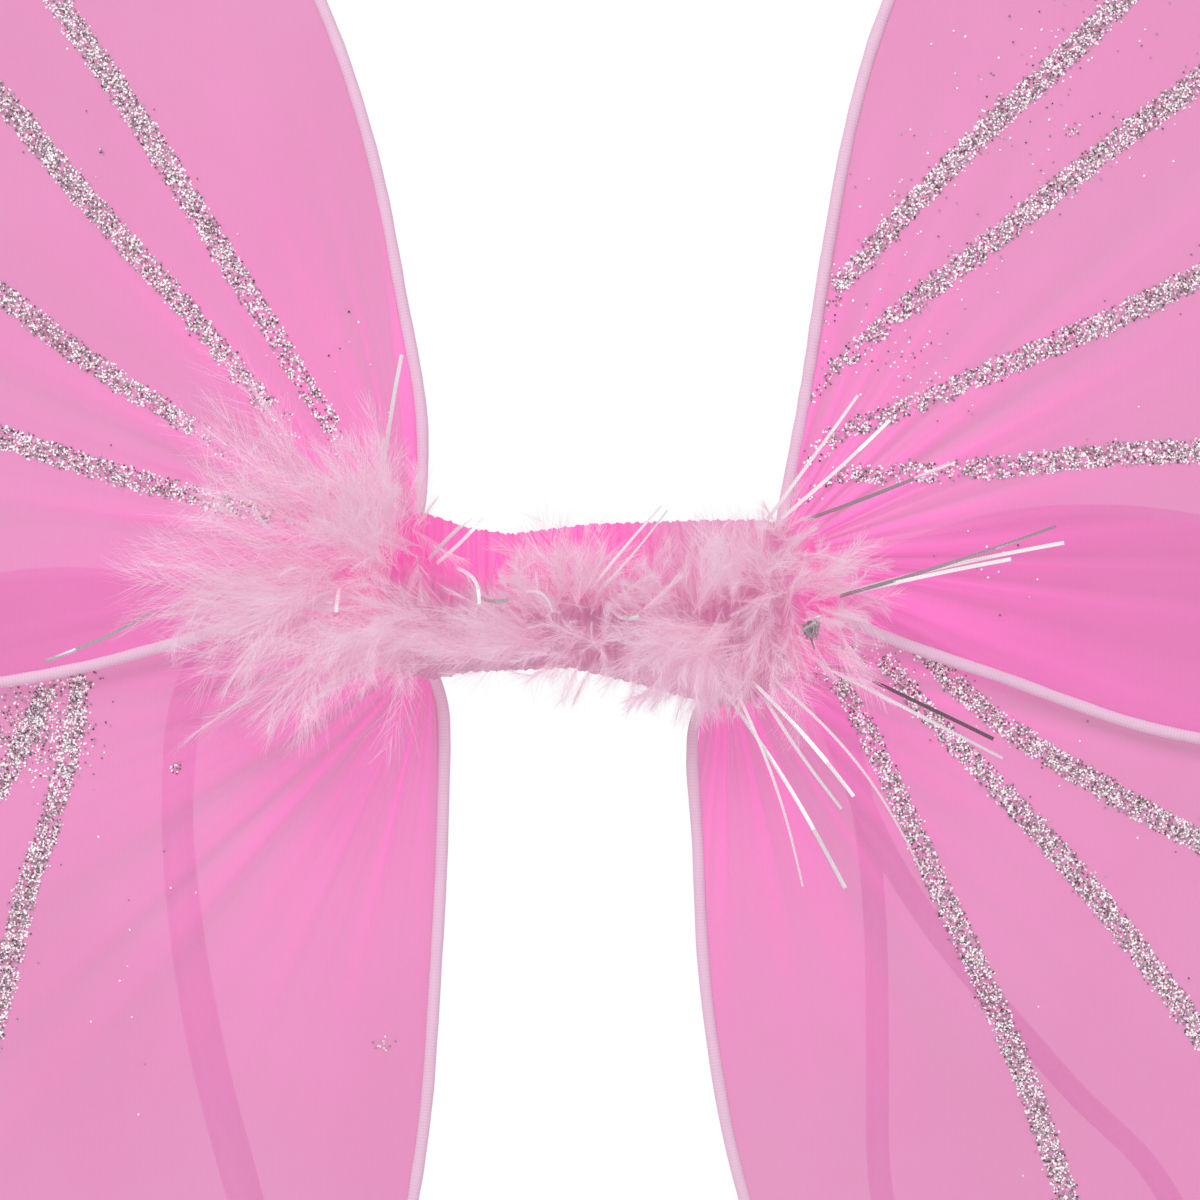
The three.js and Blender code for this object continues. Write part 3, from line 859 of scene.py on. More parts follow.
@dataclass
class Wing:
    """One wing: nylon stretched in a loop of wire, with its hem and its tie."""

    side: Side
    level: Level
    lean: float
    seed: int
    strays: tuple[tuple[int, float], ...]
    spots: tuple[tuple[float, float, float, int], ...] = ()
    patchiness: float = 1.0
    pleats: int = 24
    gather_reach: float = 74 * MM
    pleat_depth: float = 0.9 * MM
    fold_growth: float = 1.7
    fold_reach: tuple[float, ...] = (1.9, 1.4, 1.0, 0.7)
    fold_weight: tuple[float, ...] = (0.7, 0.6, 0.4, 0.25)
    fold_rise: float = 0.68
    rings: int = 64
    hem_overlap: float = 0.6 * MM
    hem_radius: float = 1.45 * MM
    hem_flatness: float = 0.86
    hem_corners: int = 12
    half_stitch: float = 0.4 * MM
    stretch: float = 1.06
    camber: float = 1.1 * MM
    wire_inset: float = 1.3 * MM
    tail_length: float = 7 * MM
    tail_gap: float = 2.4 * MM
    tie_middle: float = 2.5 * MM
    rim: Array = field(init=False, repr=False)
    plane_y: float = field(init=False)
    root: Array = field(init=False, repr=False)

    def __post_init__(self) -> None:
        """Reads the wing's plane, its rim and its root from the frame."""
        low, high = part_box(f"{self.name}_wing_wire")
        self.plane_y = (low.y + high.y) / 2
        low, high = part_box(f"{self.name}_wing_tie")
        self.root = np.array([(low.x + high.x) / 2, (low.z + high.z) / 2]) - self.along * self.tie_middle
        outline = np.unique(node_points(f"{self.name}_wing_nylon")[:, [0, 2]].round(5), axis=0)
        centre = (outline.min(0) + outline.max(0)) / 2
        order = np.argsort(np.arctan2(*(outline - centre).T[::-1]))
        outline = outline[order]
        toward = np.linalg.norm(outline - self.root, axis=1)
        first = int(np.argmin(toward))
        outline = np.roll(outline, -first, axis=0)
        if np.linalg.norm(outline[0] - outline[1]) > np.linalg.norm(outline[0] - outline[-1]):
            outline = np.roll(outline, -1, axis=0)
        self.rim = outline

    @property
    def name(self) -> str:
        """The wing's name, as nodes and bodies use it."""
        return f"{self.side.word}_{self.level.value}"

    @property
    def along(self) -> Array:
        """Direction in which the wire's two ends leave the root, as x and z."""
        angle = math.radians(self.lean)
        return np.array([math.cos(angle), math.sin(angle)])

    @property
    def across(self) -> Array:
        """Direction square to the wire's ends, in the wing's plane."""
        return np.array([-self.along[1], self.along[0]])

    @property
    def gather_point(self) -> Array:
        """Where the nylon's folds meet, between the wire's ends."""
        return self.root + self.along * self.tail_length * 0.6

    def fan(self, places: Array) -> tuple[Array, Array]:
        """Angle from the root's own direction, and distance from the gather point.

        Args:
            places: x and z of each point, in metres.

        Returns:
            The angles in radians and the distances in metres.
        """
        away = places - self.gather_point
        angle = np.arctan2(away @ self.across, away @ self.along)
        return angle, np.linalg.norm(away, axis=1)

    def folds(self, places: Array) -> tuple[Array, Array]:
        """Height of the gathered folds, and how densely the nylon is gathered.

        Args:
            places: x and z of each point, in metres.

        Returns:
            The heights, from -1 to 1, and the gather, from 0 to 1.
        """
        rng = np.random.default_rng(self.seed)
        angle, distance = self.fan(places)
        near = np.exp(-(distance / self.gather_reach) ** 1.5)
        height = np.zeros(len(places))
        for octave, (far, weight) in enumerate(zip(self.fold_reach, self.fold_weight)):
            drift = rng.uniform(0, 2 * math.pi, 6)
            phase = (self.pleats * self.fold_growth ** octave * angle + 2.2 * np.sin(5 * angle + drift[0])
                     + 1.5 * np.sin(11 * angle + drift[1]) + drift[2])
            lap = (phase / (2 * math.pi)) % 1.0
            fold = (np.clip(lap / self.fold_rise, 0, 1)
                    - np.clip((lap - self.fold_rise) / (1 - self.fold_rise), 0, 1))
            reach = self.gather_reach * far * (0.85 + 0.3 * np.sin(6 * angle + drift[3]))
            uneven = 0.7 + 0.3 * np.sin(7 * angle + drift[4] + octave)
            height += np.exp(-(distance / reach) ** 2) * uneven * weight * (2 * fold - 1)
        slack = wander(places, rng, 90 * MM) * 0.04
        # The gather is highest near the root and alternates from pleat to pleat: deeper pink and denser
        # where the nylon lies in layers, and through the nylon's emission also the pleats' painted light
        # streaks.
        gather = np.clip(0.64 * near + 0.50 * height * near ** 0.35 + slack + 0.03, 0, 1)
        return np.clip(height, -1, 1), gather

    def surface(self, places: Array) -> Array:
        """The nylon's y at each place.

        Args:
            places: x and z of each point, in metres.

        Returns:
            The y of each point, in metres.
        """
        height, _ = self.folds(places)
        _, distance = self.fan(places)
        size = self.rim.max(0) - self.rim.min(0)
        middle = (self.rim.max(0) + self.rim.min(0)) / 2
        inner = np.clip(1 - (((places - middle) / (size / 2)) ** 2).sum(1), 0, 1)
        rng = np.random.default_rng(self.seed + 50)
        soft = wander(places, rng, 130 * MM)
        calm = np.clip(distance / (12 * MM), 0, 1)
        return (self.plane_y - self.pleat_depth * height * calm
                - self.camber * inner * (0.6 + 0.4 * soft))

    def inside(self, places: Array) -> Array:
        """Whether each place is inside the wing's rim.

        Args:
            places: x and z of each point, in metres.

        Returns:
            One True or False for each point.
        """
        crossings = np.zeros(len(places), int)
        for (x0, z0), (x1, z1) in zip(self.rim, np.roll(self.rim, -1, axis=0)):
            spans = (z0 > places[:, 1]) != (z1 > places[:, 1])
            if z0 != z1:
                reach = x0 + (places[:, 1] - z0) * (x1 - x0) / (z1 - z0)
                crossings += spans & (places[:, 0] < reach)
        return crossings % 2 == 1

    def nylon(self) -> bpy.types.Object:
        """The stretched nylon, fanned out from the tie to the rim."""
        rim = smooth_line(self.rim, 2.0 * MM)
        spread = np.linspace(0, 1, self.rings) ** 1.25
        start = self.gather_point + (rim - self.gather_point) * 0.015
        edge = rim + unit(rim - self.gather_point) * self.hem_overlap
        places = (start[None] + spread[:, None, None] * (edge - start)[None]).reshape(-1, 2)
        calm = np.repeat(np.clip((1 - spread) * 14, 0, 1), len(rim))
        y = self.plane_y + (self.surface(places) - self.plane_y) * calm
        _, gather = self.folds(places)
        faces = grid_faces(self.rings, len(rim))
        points = np.stack([places[:, 0], y, places[:, 1]], -1)
        cloth = mesh_object(f"{self.name}_nylon", points, facing_front(points, faces),
                            NYLON.material(), gather=gather)
        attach(cloth, f"{self.name}_wing")
        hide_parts(f"{self.name}_wing_nylon")
        return cloth

    def hem(self) -> bpy.types.Object:
        """The overlocked hem that holds the nylon to the wire."""
        tangents = unit(np.gradient(self.rim, axis=0))
        outward = np.stack([tangents[:, 1], -tangents[:, 0]], -1)
        middle = self.rim.mean(0)
        if ((self.rim - middle) * outward).sum() < 0:
            outward = -outward
        wire = self.rim + outward * self.wire_inset
        ends = []
        for place in (wire[0], wire[-1]):
            sign = np.sign((place - self.root) @ self.across)
            ends.append(self.root + self.along * self.tail_length
                        + self.across * sign * self.tail_gap / 2)
        line = smooth_line(np.vstack([ends[0], wire, ends[1]]), self.half_stitch)
        path = np.stack([line[:, 0], np.full(len(line), self.plane_y), line[:, 1]], -1)
        tangent = unit(np.gradient(path, axis=0))
        lifts = np.tile([0.0, -1.0, 0.0], (len(path), 1))
        sides = np.cross(tangent, lifts)
        rng = np.random.default_rng(self.seed + 9)
        steps = np.arange(len(path))
        stitch = 0.5 - 0.5 * np.cos(math.pi * steps)
        uneven = wander(path, rng, 9 * MM)
        half = self.hem_radius + 0.07 * MM * stitch + 0.06 * MM * uneven
        points = tube_points(path, sides, lifts, half, half * self.hem_flatness, self.hem_corners)
        rib = np.repeat(0.35 + 0.55 * stitch + 0.08 * uneven, self.hem_corners)
        hem = mesh_object(f"{self.name}_hem", points,
                          grid_faces(len(path), self.hem_corners, closed=True),
                          HEM.material(), rib=np.clip(rib, 0, 1))
        close_ends(hem)
        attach(hem, f"{self.name}_wing")
        return hem

    def build(self) -> None:
        cloth = self.nylon()
        hem = self.hem()
        size = self.rim.max(0) - self.rim.min(0)
        LOG.info("%s wing: nylon %.0f by %.0f mm, %d triangles", self.name, *(s / MM for s in size),
                 2 * len(cloth.data.polygons))


WINGS = (
    Wing(Side.LEFT, Level.UPPER, lean=140, seed=11, strays=((90, 2.5), (60, 3), (50, 2), (60, 2)),
         spots=((-122, 112, 1.0, 7), (-60, 60, 12, 8))),
    Wing(Side.RIGHT, Level.UPPER, lean=37, seed=12, strays=((460, 7), (260, 5), (90, 3), (50, 2.5)),
         spots=((120, 117, 2.2, 16), (78, 62, 12, 60), (100, 8, 14, 16))),
    Wing(Side.LEFT, Level.LOWER, lean=219, seed=13, strays=((60, 2), (60, 2)),
         spots=((-104, -42, 1.6, 22), (-52, -111, 2.4, 16), (-138, -33, 13, 760), (-122, -90, 30, 14)),
         patchiness=0.3),
    Wing(Side.RIGHT, Level.LOWER, lean=-31, seed=14, strays=((60, 2.5), (80, 2.5), (120, 3.5)),
         patchiness=0.3),
)


# ------------------------------------------------------------------ glitter


@dataclass(frozen=True)
class GlitterVein:
    """A glue line of loose glitter flakes on the front of one wing."""

    wing: Wing
    number: int
    strays: int = 60
    stray_reach: float = 2.5 * MM
    flake: float = 0.285 * MM
    flatness: float = 0.16
    per_square_mm: float = 6.4
    tail: float = 15 * MM
    stand_off: float = 0.16 * MM
    layers: float = 0.25 * MM
    edge_blur: float = 0.3 * MM
    patchy_within: float = 55 * MM
    patchy_fade: float = 25 * MM
    tail_flakes: int = 420
    tail_width: float = 1.3 * MM
    tones: tuple[float, ...] = (0.05, 0.3, 0.5, 0.75, 1.0)
    tone_shares: tuple[float, ...] = (0.11, 0.17, 0.20, 0.14, 0.38)

    @property
    def node(self) -> str:
        """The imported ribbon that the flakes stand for."""
        return f"{self.wing.name}_glitter_vein_{self.number}"

    def modelled_flake(self) -> bpy.types.Object:
        """One flake: a six-sided chip, thin at its edge."""
        Bench.clear()
        bpy.ops.mesh.primitive_circle_add(vertices=6, radius=self.flake, fill_type="NGON")
        flake = Bench.named("flake")
        bpy.ops.object.mode_set(mode="EDIT")
        bpy.ops.mesh.select_all(action="SELECT")
        bpy.ops.mesh.poke(offset=self.flake * self.flatness)
        bpy.ops.mesh.duplicate()
        bpy.ops.transform.resize(value=(1, 1, -1))
        bpy.ops.mesh.flip_normals()
        bpy.ops.mesh.select_all(action="SELECT")
        bpy.ops.mesh.remove_doubles(threshold=0.01 * MM)
        bpy.ops.object.mode_set(mode="OBJECT")
        return flake

    def places(self, rng: np.random.Generator) -> Array:
        """x and z of each flake, thicker in clumps and with strays beside the line.

        Args:
            rng: The source of random numbers.

        Returns:
            One row for each flake, in metres.
        """
        corners = node_triangles(self.node)
        normal = np.cross(corners[:, 1] - corners[:, 0], corners[:, 2] - corners[:, 0])
        front = normal[:, 1] < -0.5 * np.linalg.norm(normal, axis=1)
        corners, area = corners[front], -normal[front][:, 1] / 2
        count = int(area.sum() / MM ** 2 * self.per_square_mm)
        chosen = rng.choice(len(area), count, p=area / area.sum())
        mix = rng.dirichlet((1, 1, 1), count)
        spots = np.einsum("nk,nkc->nc", mix, corners[chosen])[:, [0, 2]]
        clump = 0.5 * wander(spots, rng, 2.2 * MM, 11) + 0.5 * wander(spots, rng, 5 * MM)
        _, distance = self.wing.fan(spots)
        beyond = np.clip(distance - self.patchy_within, 0, None)
        patchy = self.wing.patchiness * np.exp(-beyond / self.patchy_fade)
        density = (np.clip(0.86 + 0.5 * clump, 0.15, 1) * (1 - patchy)
                   + np.clip(0.5 + 1.1 * clump, 0.02, 1) * patchy)
        spots = spots[rng.random(count) < density]
        spots = spots + rng.normal(0, self.edge_blur, spots.shape)
        beside = spots[rng.integers(0, len(spots), self.strays)]
        reach = rng.exponential(self.stray_reach, (self.strays, 1))
        beside = beside + unit(rng.normal(size=(self.strays, 2))) * reach
        groups = [spots, beside, self.root_tail(rng, spots)]
        if self.number == 1:
            for x, z, radius, flakes in self.wing.spots:
                groups.append(np.array([x, z]) * MM + rng.normal(0, radius * MM / 2, (flakes, 2)))
        every = np.vstack(groups)
        return every[self.wing.inside(every)]

    def root_tail(self, rng: np.random.Generator, spots: Array) -> Array:
        """Thinning clumps that carry the line on towards the wing's root.

        Args:
            rng: The source of random numbers.
            spots: The line's own flakes.

        Returns:
            x and z of each flake of the tail.
        """
        _, distance = self.wing.fan(spots)
        start = spots[distance < distance.min() + 3 * MM].mean(0)
        inner = spots[distance < distance.min() + 16 * MM].mean(0)
        heading = unit(unit(start - inner) + unit(self.wing.gather_point - start))
        along = rng.uniform(-1.5, 1, self.tail_flakes) * self.tail
        across = rng.normal(0, self.tail_width, self.tail_flakes)
        places = start + np.outer(along, heading) + np.outer(across, [-heading[1], heading[0]])
        clump = wander(places, rng, 3.5 * MM, 9)
        keep = np.clip(0.45 + 1.2 * clump, 0.03, 1) * np.clip(1 - along / self.tail, 0, 1)
        return places[(along > 0) & (rng.random(self.tail_flakes) < keep)]

    def build(self) -> None:
        """Lays the flakes on the nylon at random angles, gives each a painted reflection tone, and joins
        them into one piece.
        """
        rng = np.random.default_rng(self.wing.seed * 100 + self.number)
        spots = self.places(rng)
        count = len(spots)
        y = self.wing.surface(spots) - self.stand_off - rng.uniform(0, self.layers, count)
        places = np.stack([spots[:, 0], y, spots[:, 1]], -1)
        facing = unit(np.array([0, -1.0, 0]) + rng.normal(0, 0.35, (count, 3)))
        turn = rng.normal(size=(count, 3))
        first = unit(turn - facing * np.einsum("ij,ij->i", turn, facing)[:, None])
        axes = np.stack([first, np.cross(facing, first), facing], 1)
        axes *= rng.uniform(0.75, 1.15, (count, 1, 1))
        points, faces = copies(self.modelled_flake(), places, axes)
        # Each flake's painted reflection tone is drawn at random, not worked out from the angle it lies at.
        shade = rng.choice(self.tones, count, p=self.tone_shares)
        tone = np.repeat(np.clip(shade + rng.normal(0, 0.07, count), 0, 1), len(points) // count)
        glitter = mesh_object(self.node, points, faces, GLITTER.material(), smooth=False, tone=tone)
        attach(glitter, f"{self.wing.name}_wing")
        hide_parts(self.node)
        LOG.info("%s: %d flakes, %d triangles", self.node, count, len(faces))


# ------------------------------------------------------------------ down


@dataclass(frozen=True)
class PlumeSpray:
    """A bunch of down plumes that leave the cord near one place, in one rough direction.

    Attributes:
        at: The middle of the plumes' roots, in millimetres.
        spread: How far the roots stray from it along X, Y and Z, in millimetres.
        direction: Where the plumes point, in degrees from +X towards +Z.
        fan: How far their directions stray from it, in degrees.
        length: The shortest and the longest plume, in millimetres.
        count: Number of plumes.
        lean: How far they lean towards the front.
        barbs: Number of barbs on a plume.
        fluff: Length of the longest barbs, as a part of the plume's length.
        curl: How strongly the shafts curve.
    """

    at: Triple
    spread: Triple
    direction: float
    fan: float
    length: tuple[float, float]
    count: int
    lean: float = 0.32
    barbs: int = 110
    fluff: float = 0.48
    curl: float = 0.35


@dataclass
class Marabou:
    """One tuft of marabou, made of sprays of plumes."""

    name: str
    node: str
    body: str
    sprays: tuple[PlumeSpray, ...]
    seed: int
    barb_width: float = 0.08 * MM
    shaft_width: float = 0.15 * MM
    stations: int = 10
    barb_stations: int = 4
    droop: float = 0.12
    loose_share: float = 0.18
    front_limit: float = -52 * MM
    back_limit: float = -19 * MM

    def shafts(self, spray: PlumeSpray, rng: np.random.Generator) -> Array:
        """Curved shafts of a spray, as points from root to tip.

        Args:
            spray: The spray.
            rng: The source of random numbers.

        Returns:
            An array of shafts by stations by three.
        """
        n = spray.count
        start = np.array(spray.at) * MM + rng.normal(0, 1, (n, 3)) * np.array(spray.spread) * MM
        angle = np.radians(spray.direction + rng.normal(0, 1, n) * spray.fan)
        lean = rng.normal(-spray.lean, spray.lean, n)
        heading = unit(np.stack([np.cos(angle), lean, np.sin(angle)], -1))
        length = rng.uniform(*spray.length, n)[:, None] * MM
        bend = rng.normal(0, spray.curl, (n, 3))
        wave = rng.normal(0, spray.curl * 0.7, (n, 3))
        points = [start]
        for i in range(1, self.stations):
            u = i / (self.stations - 1)
            turned = unit(heading + bend * u * u + wave * math.sin(math.pi * u * 1.5)
                          + np.array([0, 0, -self.droop * u * u]))
            points.append(points[-1] + turned * length / (self.stations - 1))
        return np.stack(points, 1)

    def ribbons(self, lines: Array, widths: Array, rng: np.random.Generator) -> tuple[Array, Array]:
        """Narrow ribbons along lines, turned at random.

        Args:
            lines: Ribbons by stations by three.
            widths: The width at each station.
            rng: The source of random numbers.

        Returns:
            The points and the quads.
        """
        count, stations = lines.shape[:2]
        tangent = unit(np.gradient(lines, axis=1))
        turn = rng.normal(size=(count, 1, 3)) * np.array([1, 0.5, 1])
        side = unit(np.cross(tangent, turn + 1e-6)) * widths[None, :, None] / 2
        points = np.stack([lines - side, lines + side], 2).reshape(-1, 3)
        strip = np.arange(stations - 1)[:, None] * 2 + np.array([0, 1, 3, 2])
        faces = (np.arange(count)[:, None, None] * stations * 2 + strip[None]).reshape(-1, 4)
        return points, faces

    def barbs(self, spray: PlumeSpray, shafts: Array, rng: np.random.Generator) -> tuple[Array, Array]:
        """Barbs on both sides of each shaft, longest in the middle and drooping to the tip.

        Args:
            spray: The spray.
            shafts: Its shafts.
            rng: The source of random numbers.

        Returns:
            The barbs' lines, and how far out each barb's root is along its shaft.
        """
        n, k = len(shafts), spray.barbs
        u = np.linspace(0.03, 0.97, k)[None] + rng.normal(0, 0.012, (n, k))
        u = np.clip(u, 0.01, 0.99)
        spot = u * (self.stations - 1)
        low = np.clip(spot.astype(int), 0, self.stations - 2)
        part = (spot - low)[..., None]
        row = np.arange(n)[:, None]
        root = shafts[row, low] * (1 - part) + shafts[row, low + 1] * part
        tangent = unit(shafts[row, low + 1] - shafts[row, low])
        reach = np.linalg.norm(shafts[:, -1] - shafts[:, 0], axis=1)[:, None, None]
        facing = unit(np.array([0, -1.0, 0]) + rng.normal(0, 0.55, (n, 1, 3)))
        side = np.where(np.arange(k) % 2 == 0, 1.0, -1.0)[None, :, None]
        aside = unit(np.cross(tangent, facing)) * side
        loose = np.where(rng.random((n, k, 1)) < self.loose_share, 0.5, 0.11)
        splay = 0.85 - 0.5 * u[..., None] + rng.normal(0, 0.15, (n, 1, 1))
        heading = unit(tangent + aside * splay + rng.normal(0, 1, (n, k, 3)) * loose)
        size = (reach * spray.fluff * (0.30 + 0.70 * np.sin(math.pi * u[..., None] ** 0.75))
                * rng.uniform(0.7, 1.2, (n, k, 1)))
        wave = (rng.normal(0, 0.30, (n, 1, 3)) + side * rng.normal(0, 0.25, (n, 1, 3))
                + rng.normal(0, 1, (n, k, 3)) * loose * 0.7)
        lines = [root]
        for i in range(1, self.barb_stations):
            v = i / (self.barb_stations - 1)
            turned = unit(heading + tangent * v * 0.7 + wave * v)
            lines.append(lines[-1] + turned * size / (self.barb_stations - 1))
        return np.stack(lines, 2).reshape(-1, self.barb_stations, 3), u.ravel()

    def build(self) -> None:
        """Makes the tuft and puts it on its body."""
        rng = np.random.default_rng(self.seed)
        points, faces, painted_shade_depths, total = [], [], [], 0
        for spray in self.sprays:
            shafts = self.shafts(spray, rng)
            barbs, out = self.barbs(spray, shafts, rng)
            # The depth is painted shade: deepest on barbs near each plume's root, less on the shafts, fading
            # along every line towards its end.
            for lines, width, depth in (
                    (shafts, self.shaft_width, np.zeros(len(shafts)) + 0.25),
                    (barbs, self.barb_width, np.clip(0.75 - 1.1 * out, 0, 1))):
                taper = width * (1 - 0.65 * np.linspace(0, 1, lines.shape[1]))
                spots, quads = self.ribbons(lines, taper, rng)
                points.append(spots)
                faces.append(quads + total)
                deep = depth[:, None] * np.linspace(1, 0.1, lines.shape[1])[None]
                painted_shade_depths.append(np.repeat(deep, 2, axis=1).ravel())
                total += len(spots)
        places = np.vstack(points)
        places[:, 1] = self.squeezed(places[:, 1])
        tuft = mesh_object(self.name, places, np.vstack(faces), DOWN.material(),
                           depth=np.concatenate(painted_shade_depths))
        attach(tuft, self.body)
        if self.node:
            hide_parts(self.node)
        LOG.info("%s: %d triangles", self.name, 2 * sum(map(len, faces)))

    def squeezed(self, y: Array) -> Array:
        """y values eased back between the tuft's front and the nylon behind it."""
        middle = (self.front_limit + self.back_limit) / 2
        half = (self.back_limit - self.front_limit) / 2
        return middle + half * np.tanh((y - middle) / half)


MARABOU = (
    Marabou("marabou_left_upper", "left_marabou", "left_root", (
        PlumeSpray((-51, -29, 10), (4, 3, 5), 110, 15, (22, 38), 30, fluff=0.42),
        PlumeSpray((-62, -27, 14), (5, 3, 5), 165, 15, (30, 62), 15, fluff=0.42),
        PlumeSpray((-62, -25, 22), (5, 3, 5), 138, 20, (24, 48), 11, fluff=0.45),
        PlumeSpray((-55, -29, 14), (6, 3, 6), 130, 60, (12, 20), 26, fluff=0.55),
        PlumeSpray((-44, -27, 16), (3, 3, 4), 80, 40, (8, 16), 8, fluff=0.55),
    ), seed=71),
    Marabou("marabou_left_lower", "", "left_root", (
        PlumeSpray((-64, -27, 5), (6, 3, 4), 207, 12, (28, 54), 24, fluff=0.42),
        PlumeSpray((-76, -27, 1), (6, 3, 3), 196, 14, (18, 34), 14, fluff=0.42),
        PlumeSpray((-70, -26, 6), (6, 3, 4), 182, 14, (28, 58), 12, fluff=0.42),
        PlumeSpray((-57, -27, -4), (5, 3, 3), 238, 17, (20, 40), 14, fluff=0.45),
        PlumeSpray((-38, -29, -9), (6, 3, 3), 176, 14, (20, 32), 34, fluff=0.42),
        PlumeSpray((-50, -28, -8), (6, 3, 3), 250, 30, (10, 18), 16, fluff=0.5),
    ), seed=74),
    Marabou("marabou_centre", "marabou_middle", "centre", (
        PlumeSpray((-13, -29, -10), (5, 3, 2.5), 178, 11, (18, 28), 30, fluff=0.42),
        PlumeSpray((-4, -29, -1), (4, 3, 1.5), 97, 36, (14, 23), 22, fluff=0.5),
        PlumeSpray((-14, -29, -3), (5, 3, 1.5), 118, 28, (12, 20), 12, fluff=0.5),
        PlumeSpray((10, -29, -4), (5, 3, 1.5), 80, 34, (12, 20), 12, fluff=0.5),
        PlumeSpray((2, -30, -9), (8, 3, 3), 170, 60, (10, 18), 20, fluff=0.5),
        PlumeSpray((26, -28, -3), (3, 3, 2), 108, 30, (14, 23), 14, fluff=0.5),
        PlumeSpray((30, -29, -8), (4, 3, 2), 188, 13, (16, 28), 26, fluff=0.42),
        PlumeSpray((24, -27, -12), (5, 3, 3), 225, 26, (10, 19), 34, fluff=0.5),
        PlumeSpray((32, -28, -11), (5, 3, 3), 262, 20, (12, 20), 28, fluff=0.5),
    ), seed=72),
    Marabou("marabou_right", "right_marabou", "right_root", (
        PlumeSpray((34, -29, 1), (3, 3, 2), 90, 14, (14, 22), 12, fluff=0.5),
        PlumeSpray((46, -28, 4), (5, 3, 3), 80, 36, (11, 20), 14, fluff=0.5),
        PlumeSpray((54, -27, 2), (4, 3, 3), 22, 24, (12, 24), 9, fluff=0.45),
        PlumeSpray((47, -28, 12), (3, 3, 3), 85, 45, (8, 15), 12, fluff=0.55),
        PlumeSpray((58, -27, -2), (3, 3, 3), 345, 32, (9, 18), 12, fluff=0.5),
        PlumeSpray((54, -26, -6), (3, 3, 3), 318, 15, (20, 34), 6, fluff=0.4),
        PlumeSpray((42, -28, -8), (5, 3, 4), 275, 26, (12, 24), 14, fluff=0.5),
        PlumeSpray((44, -29, 0), (6, 3, 5), 180, 70, (8, 14), 18, fluff=0.55),
    ), seed=73),
)


# ------------------------------------------------------------------ tinsel


@dataclass(frozen=True)
class TinselSpray:
    """Flat film strands that leave the down, each from one place to another."""

    name: str
    node: str
    body: str
    strands: tuple[tuple[float, ...], ...]
    seed: int
    knot: tuple[float, float, float, int] = (0, 0, 0, 0)
    front_y: float = -47.5 * MM
    root_y: float = -26 * MM
    shortest: float = 5 * MM
    width: float = 0.95 * MM
    thickness: float = 0.05 * MM
    stations: int = 22

    def curls(self, rng: np.random.Generator) -> list[tuple[float, ...]]:
        """Short curled ends of film that make up the knot, if there is one."""
        x, z, radius, count = self.knot
        ends = np.array([x, z, x, z]) + rng.normal(0, radius / 2, (count, 4))
        # The knot's curls get middling painted reflections.
        tones, bows = rng.uniform(0.35, 0.75, count), rng.normal(0, 0.22, count)
        return [(*end, tone, bow) for end, tone, bow in zip(ends, tones, bows)]

    def build(self) -> None:
        """Makes every strand and joins them into one piece."""
        rng = np.random.default_rng(self.seed)
        points, faces, tones, total = [], [], [], 0
        for x0, z0, x1, z1, tone, bow in (*self.strands, *self.curls(rng)):
            start, end = np.array([x0, z0]) * MM, np.array([x1, z1]) * MM
            across = np.array([-(end - start)[1], (end - start)[0]])
            t = np.linspace(0, 1, self.stations)
            flat = start + np.outer(t, end - start) + np.outer(np.sin(math.pi * t), across) * bow
            short = np.linalg.norm(end - start) < self.shortest
            rise = np.full(len(t), 0.6) if short else np.minimum(1, t * 1.4) ** 0.6
            y = self.root_y + (self.front_y - self.root_y) * rise
            line = np.stack([flat[:, 0], y + rng.uniform(-2, 2) * MM, flat[:, 1]], -1)
            tangent = unit(np.gradient(line, axis=0))
            roll = rng.uniform(-0.7, 0.7) + 0.5 * t
            level = unit(np.cross(tangent, [0, 1.0, 0]))
            lift = np.cross(level, tangent)
            sides = level * np.cos(roll)[:, None] + lift * np.sin(roll)[:, None]
            half = self.width * (0.2 if short else 0.5)
            spots = tube_points(line, sides, np.cross(tangent, sides), half, self.thickness / 2, 4)
            points.append(spots)
            faces.append(grid_faces(len(line), 4, closed=True) + total)
            tones.append(np.full(len(spots), tone))
            total += len(spots)
        spray = mesh_object(self.name, np.vstack(points), np.vstack(faces), TINSEL.material(),
                            smooth=False, tone=np.concatenate(tones))
        close_ends(spray)
        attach(spray, self.body)
        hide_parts(self.node)
        LOG.info("%s: %d strands", self.name, len(self.strands))


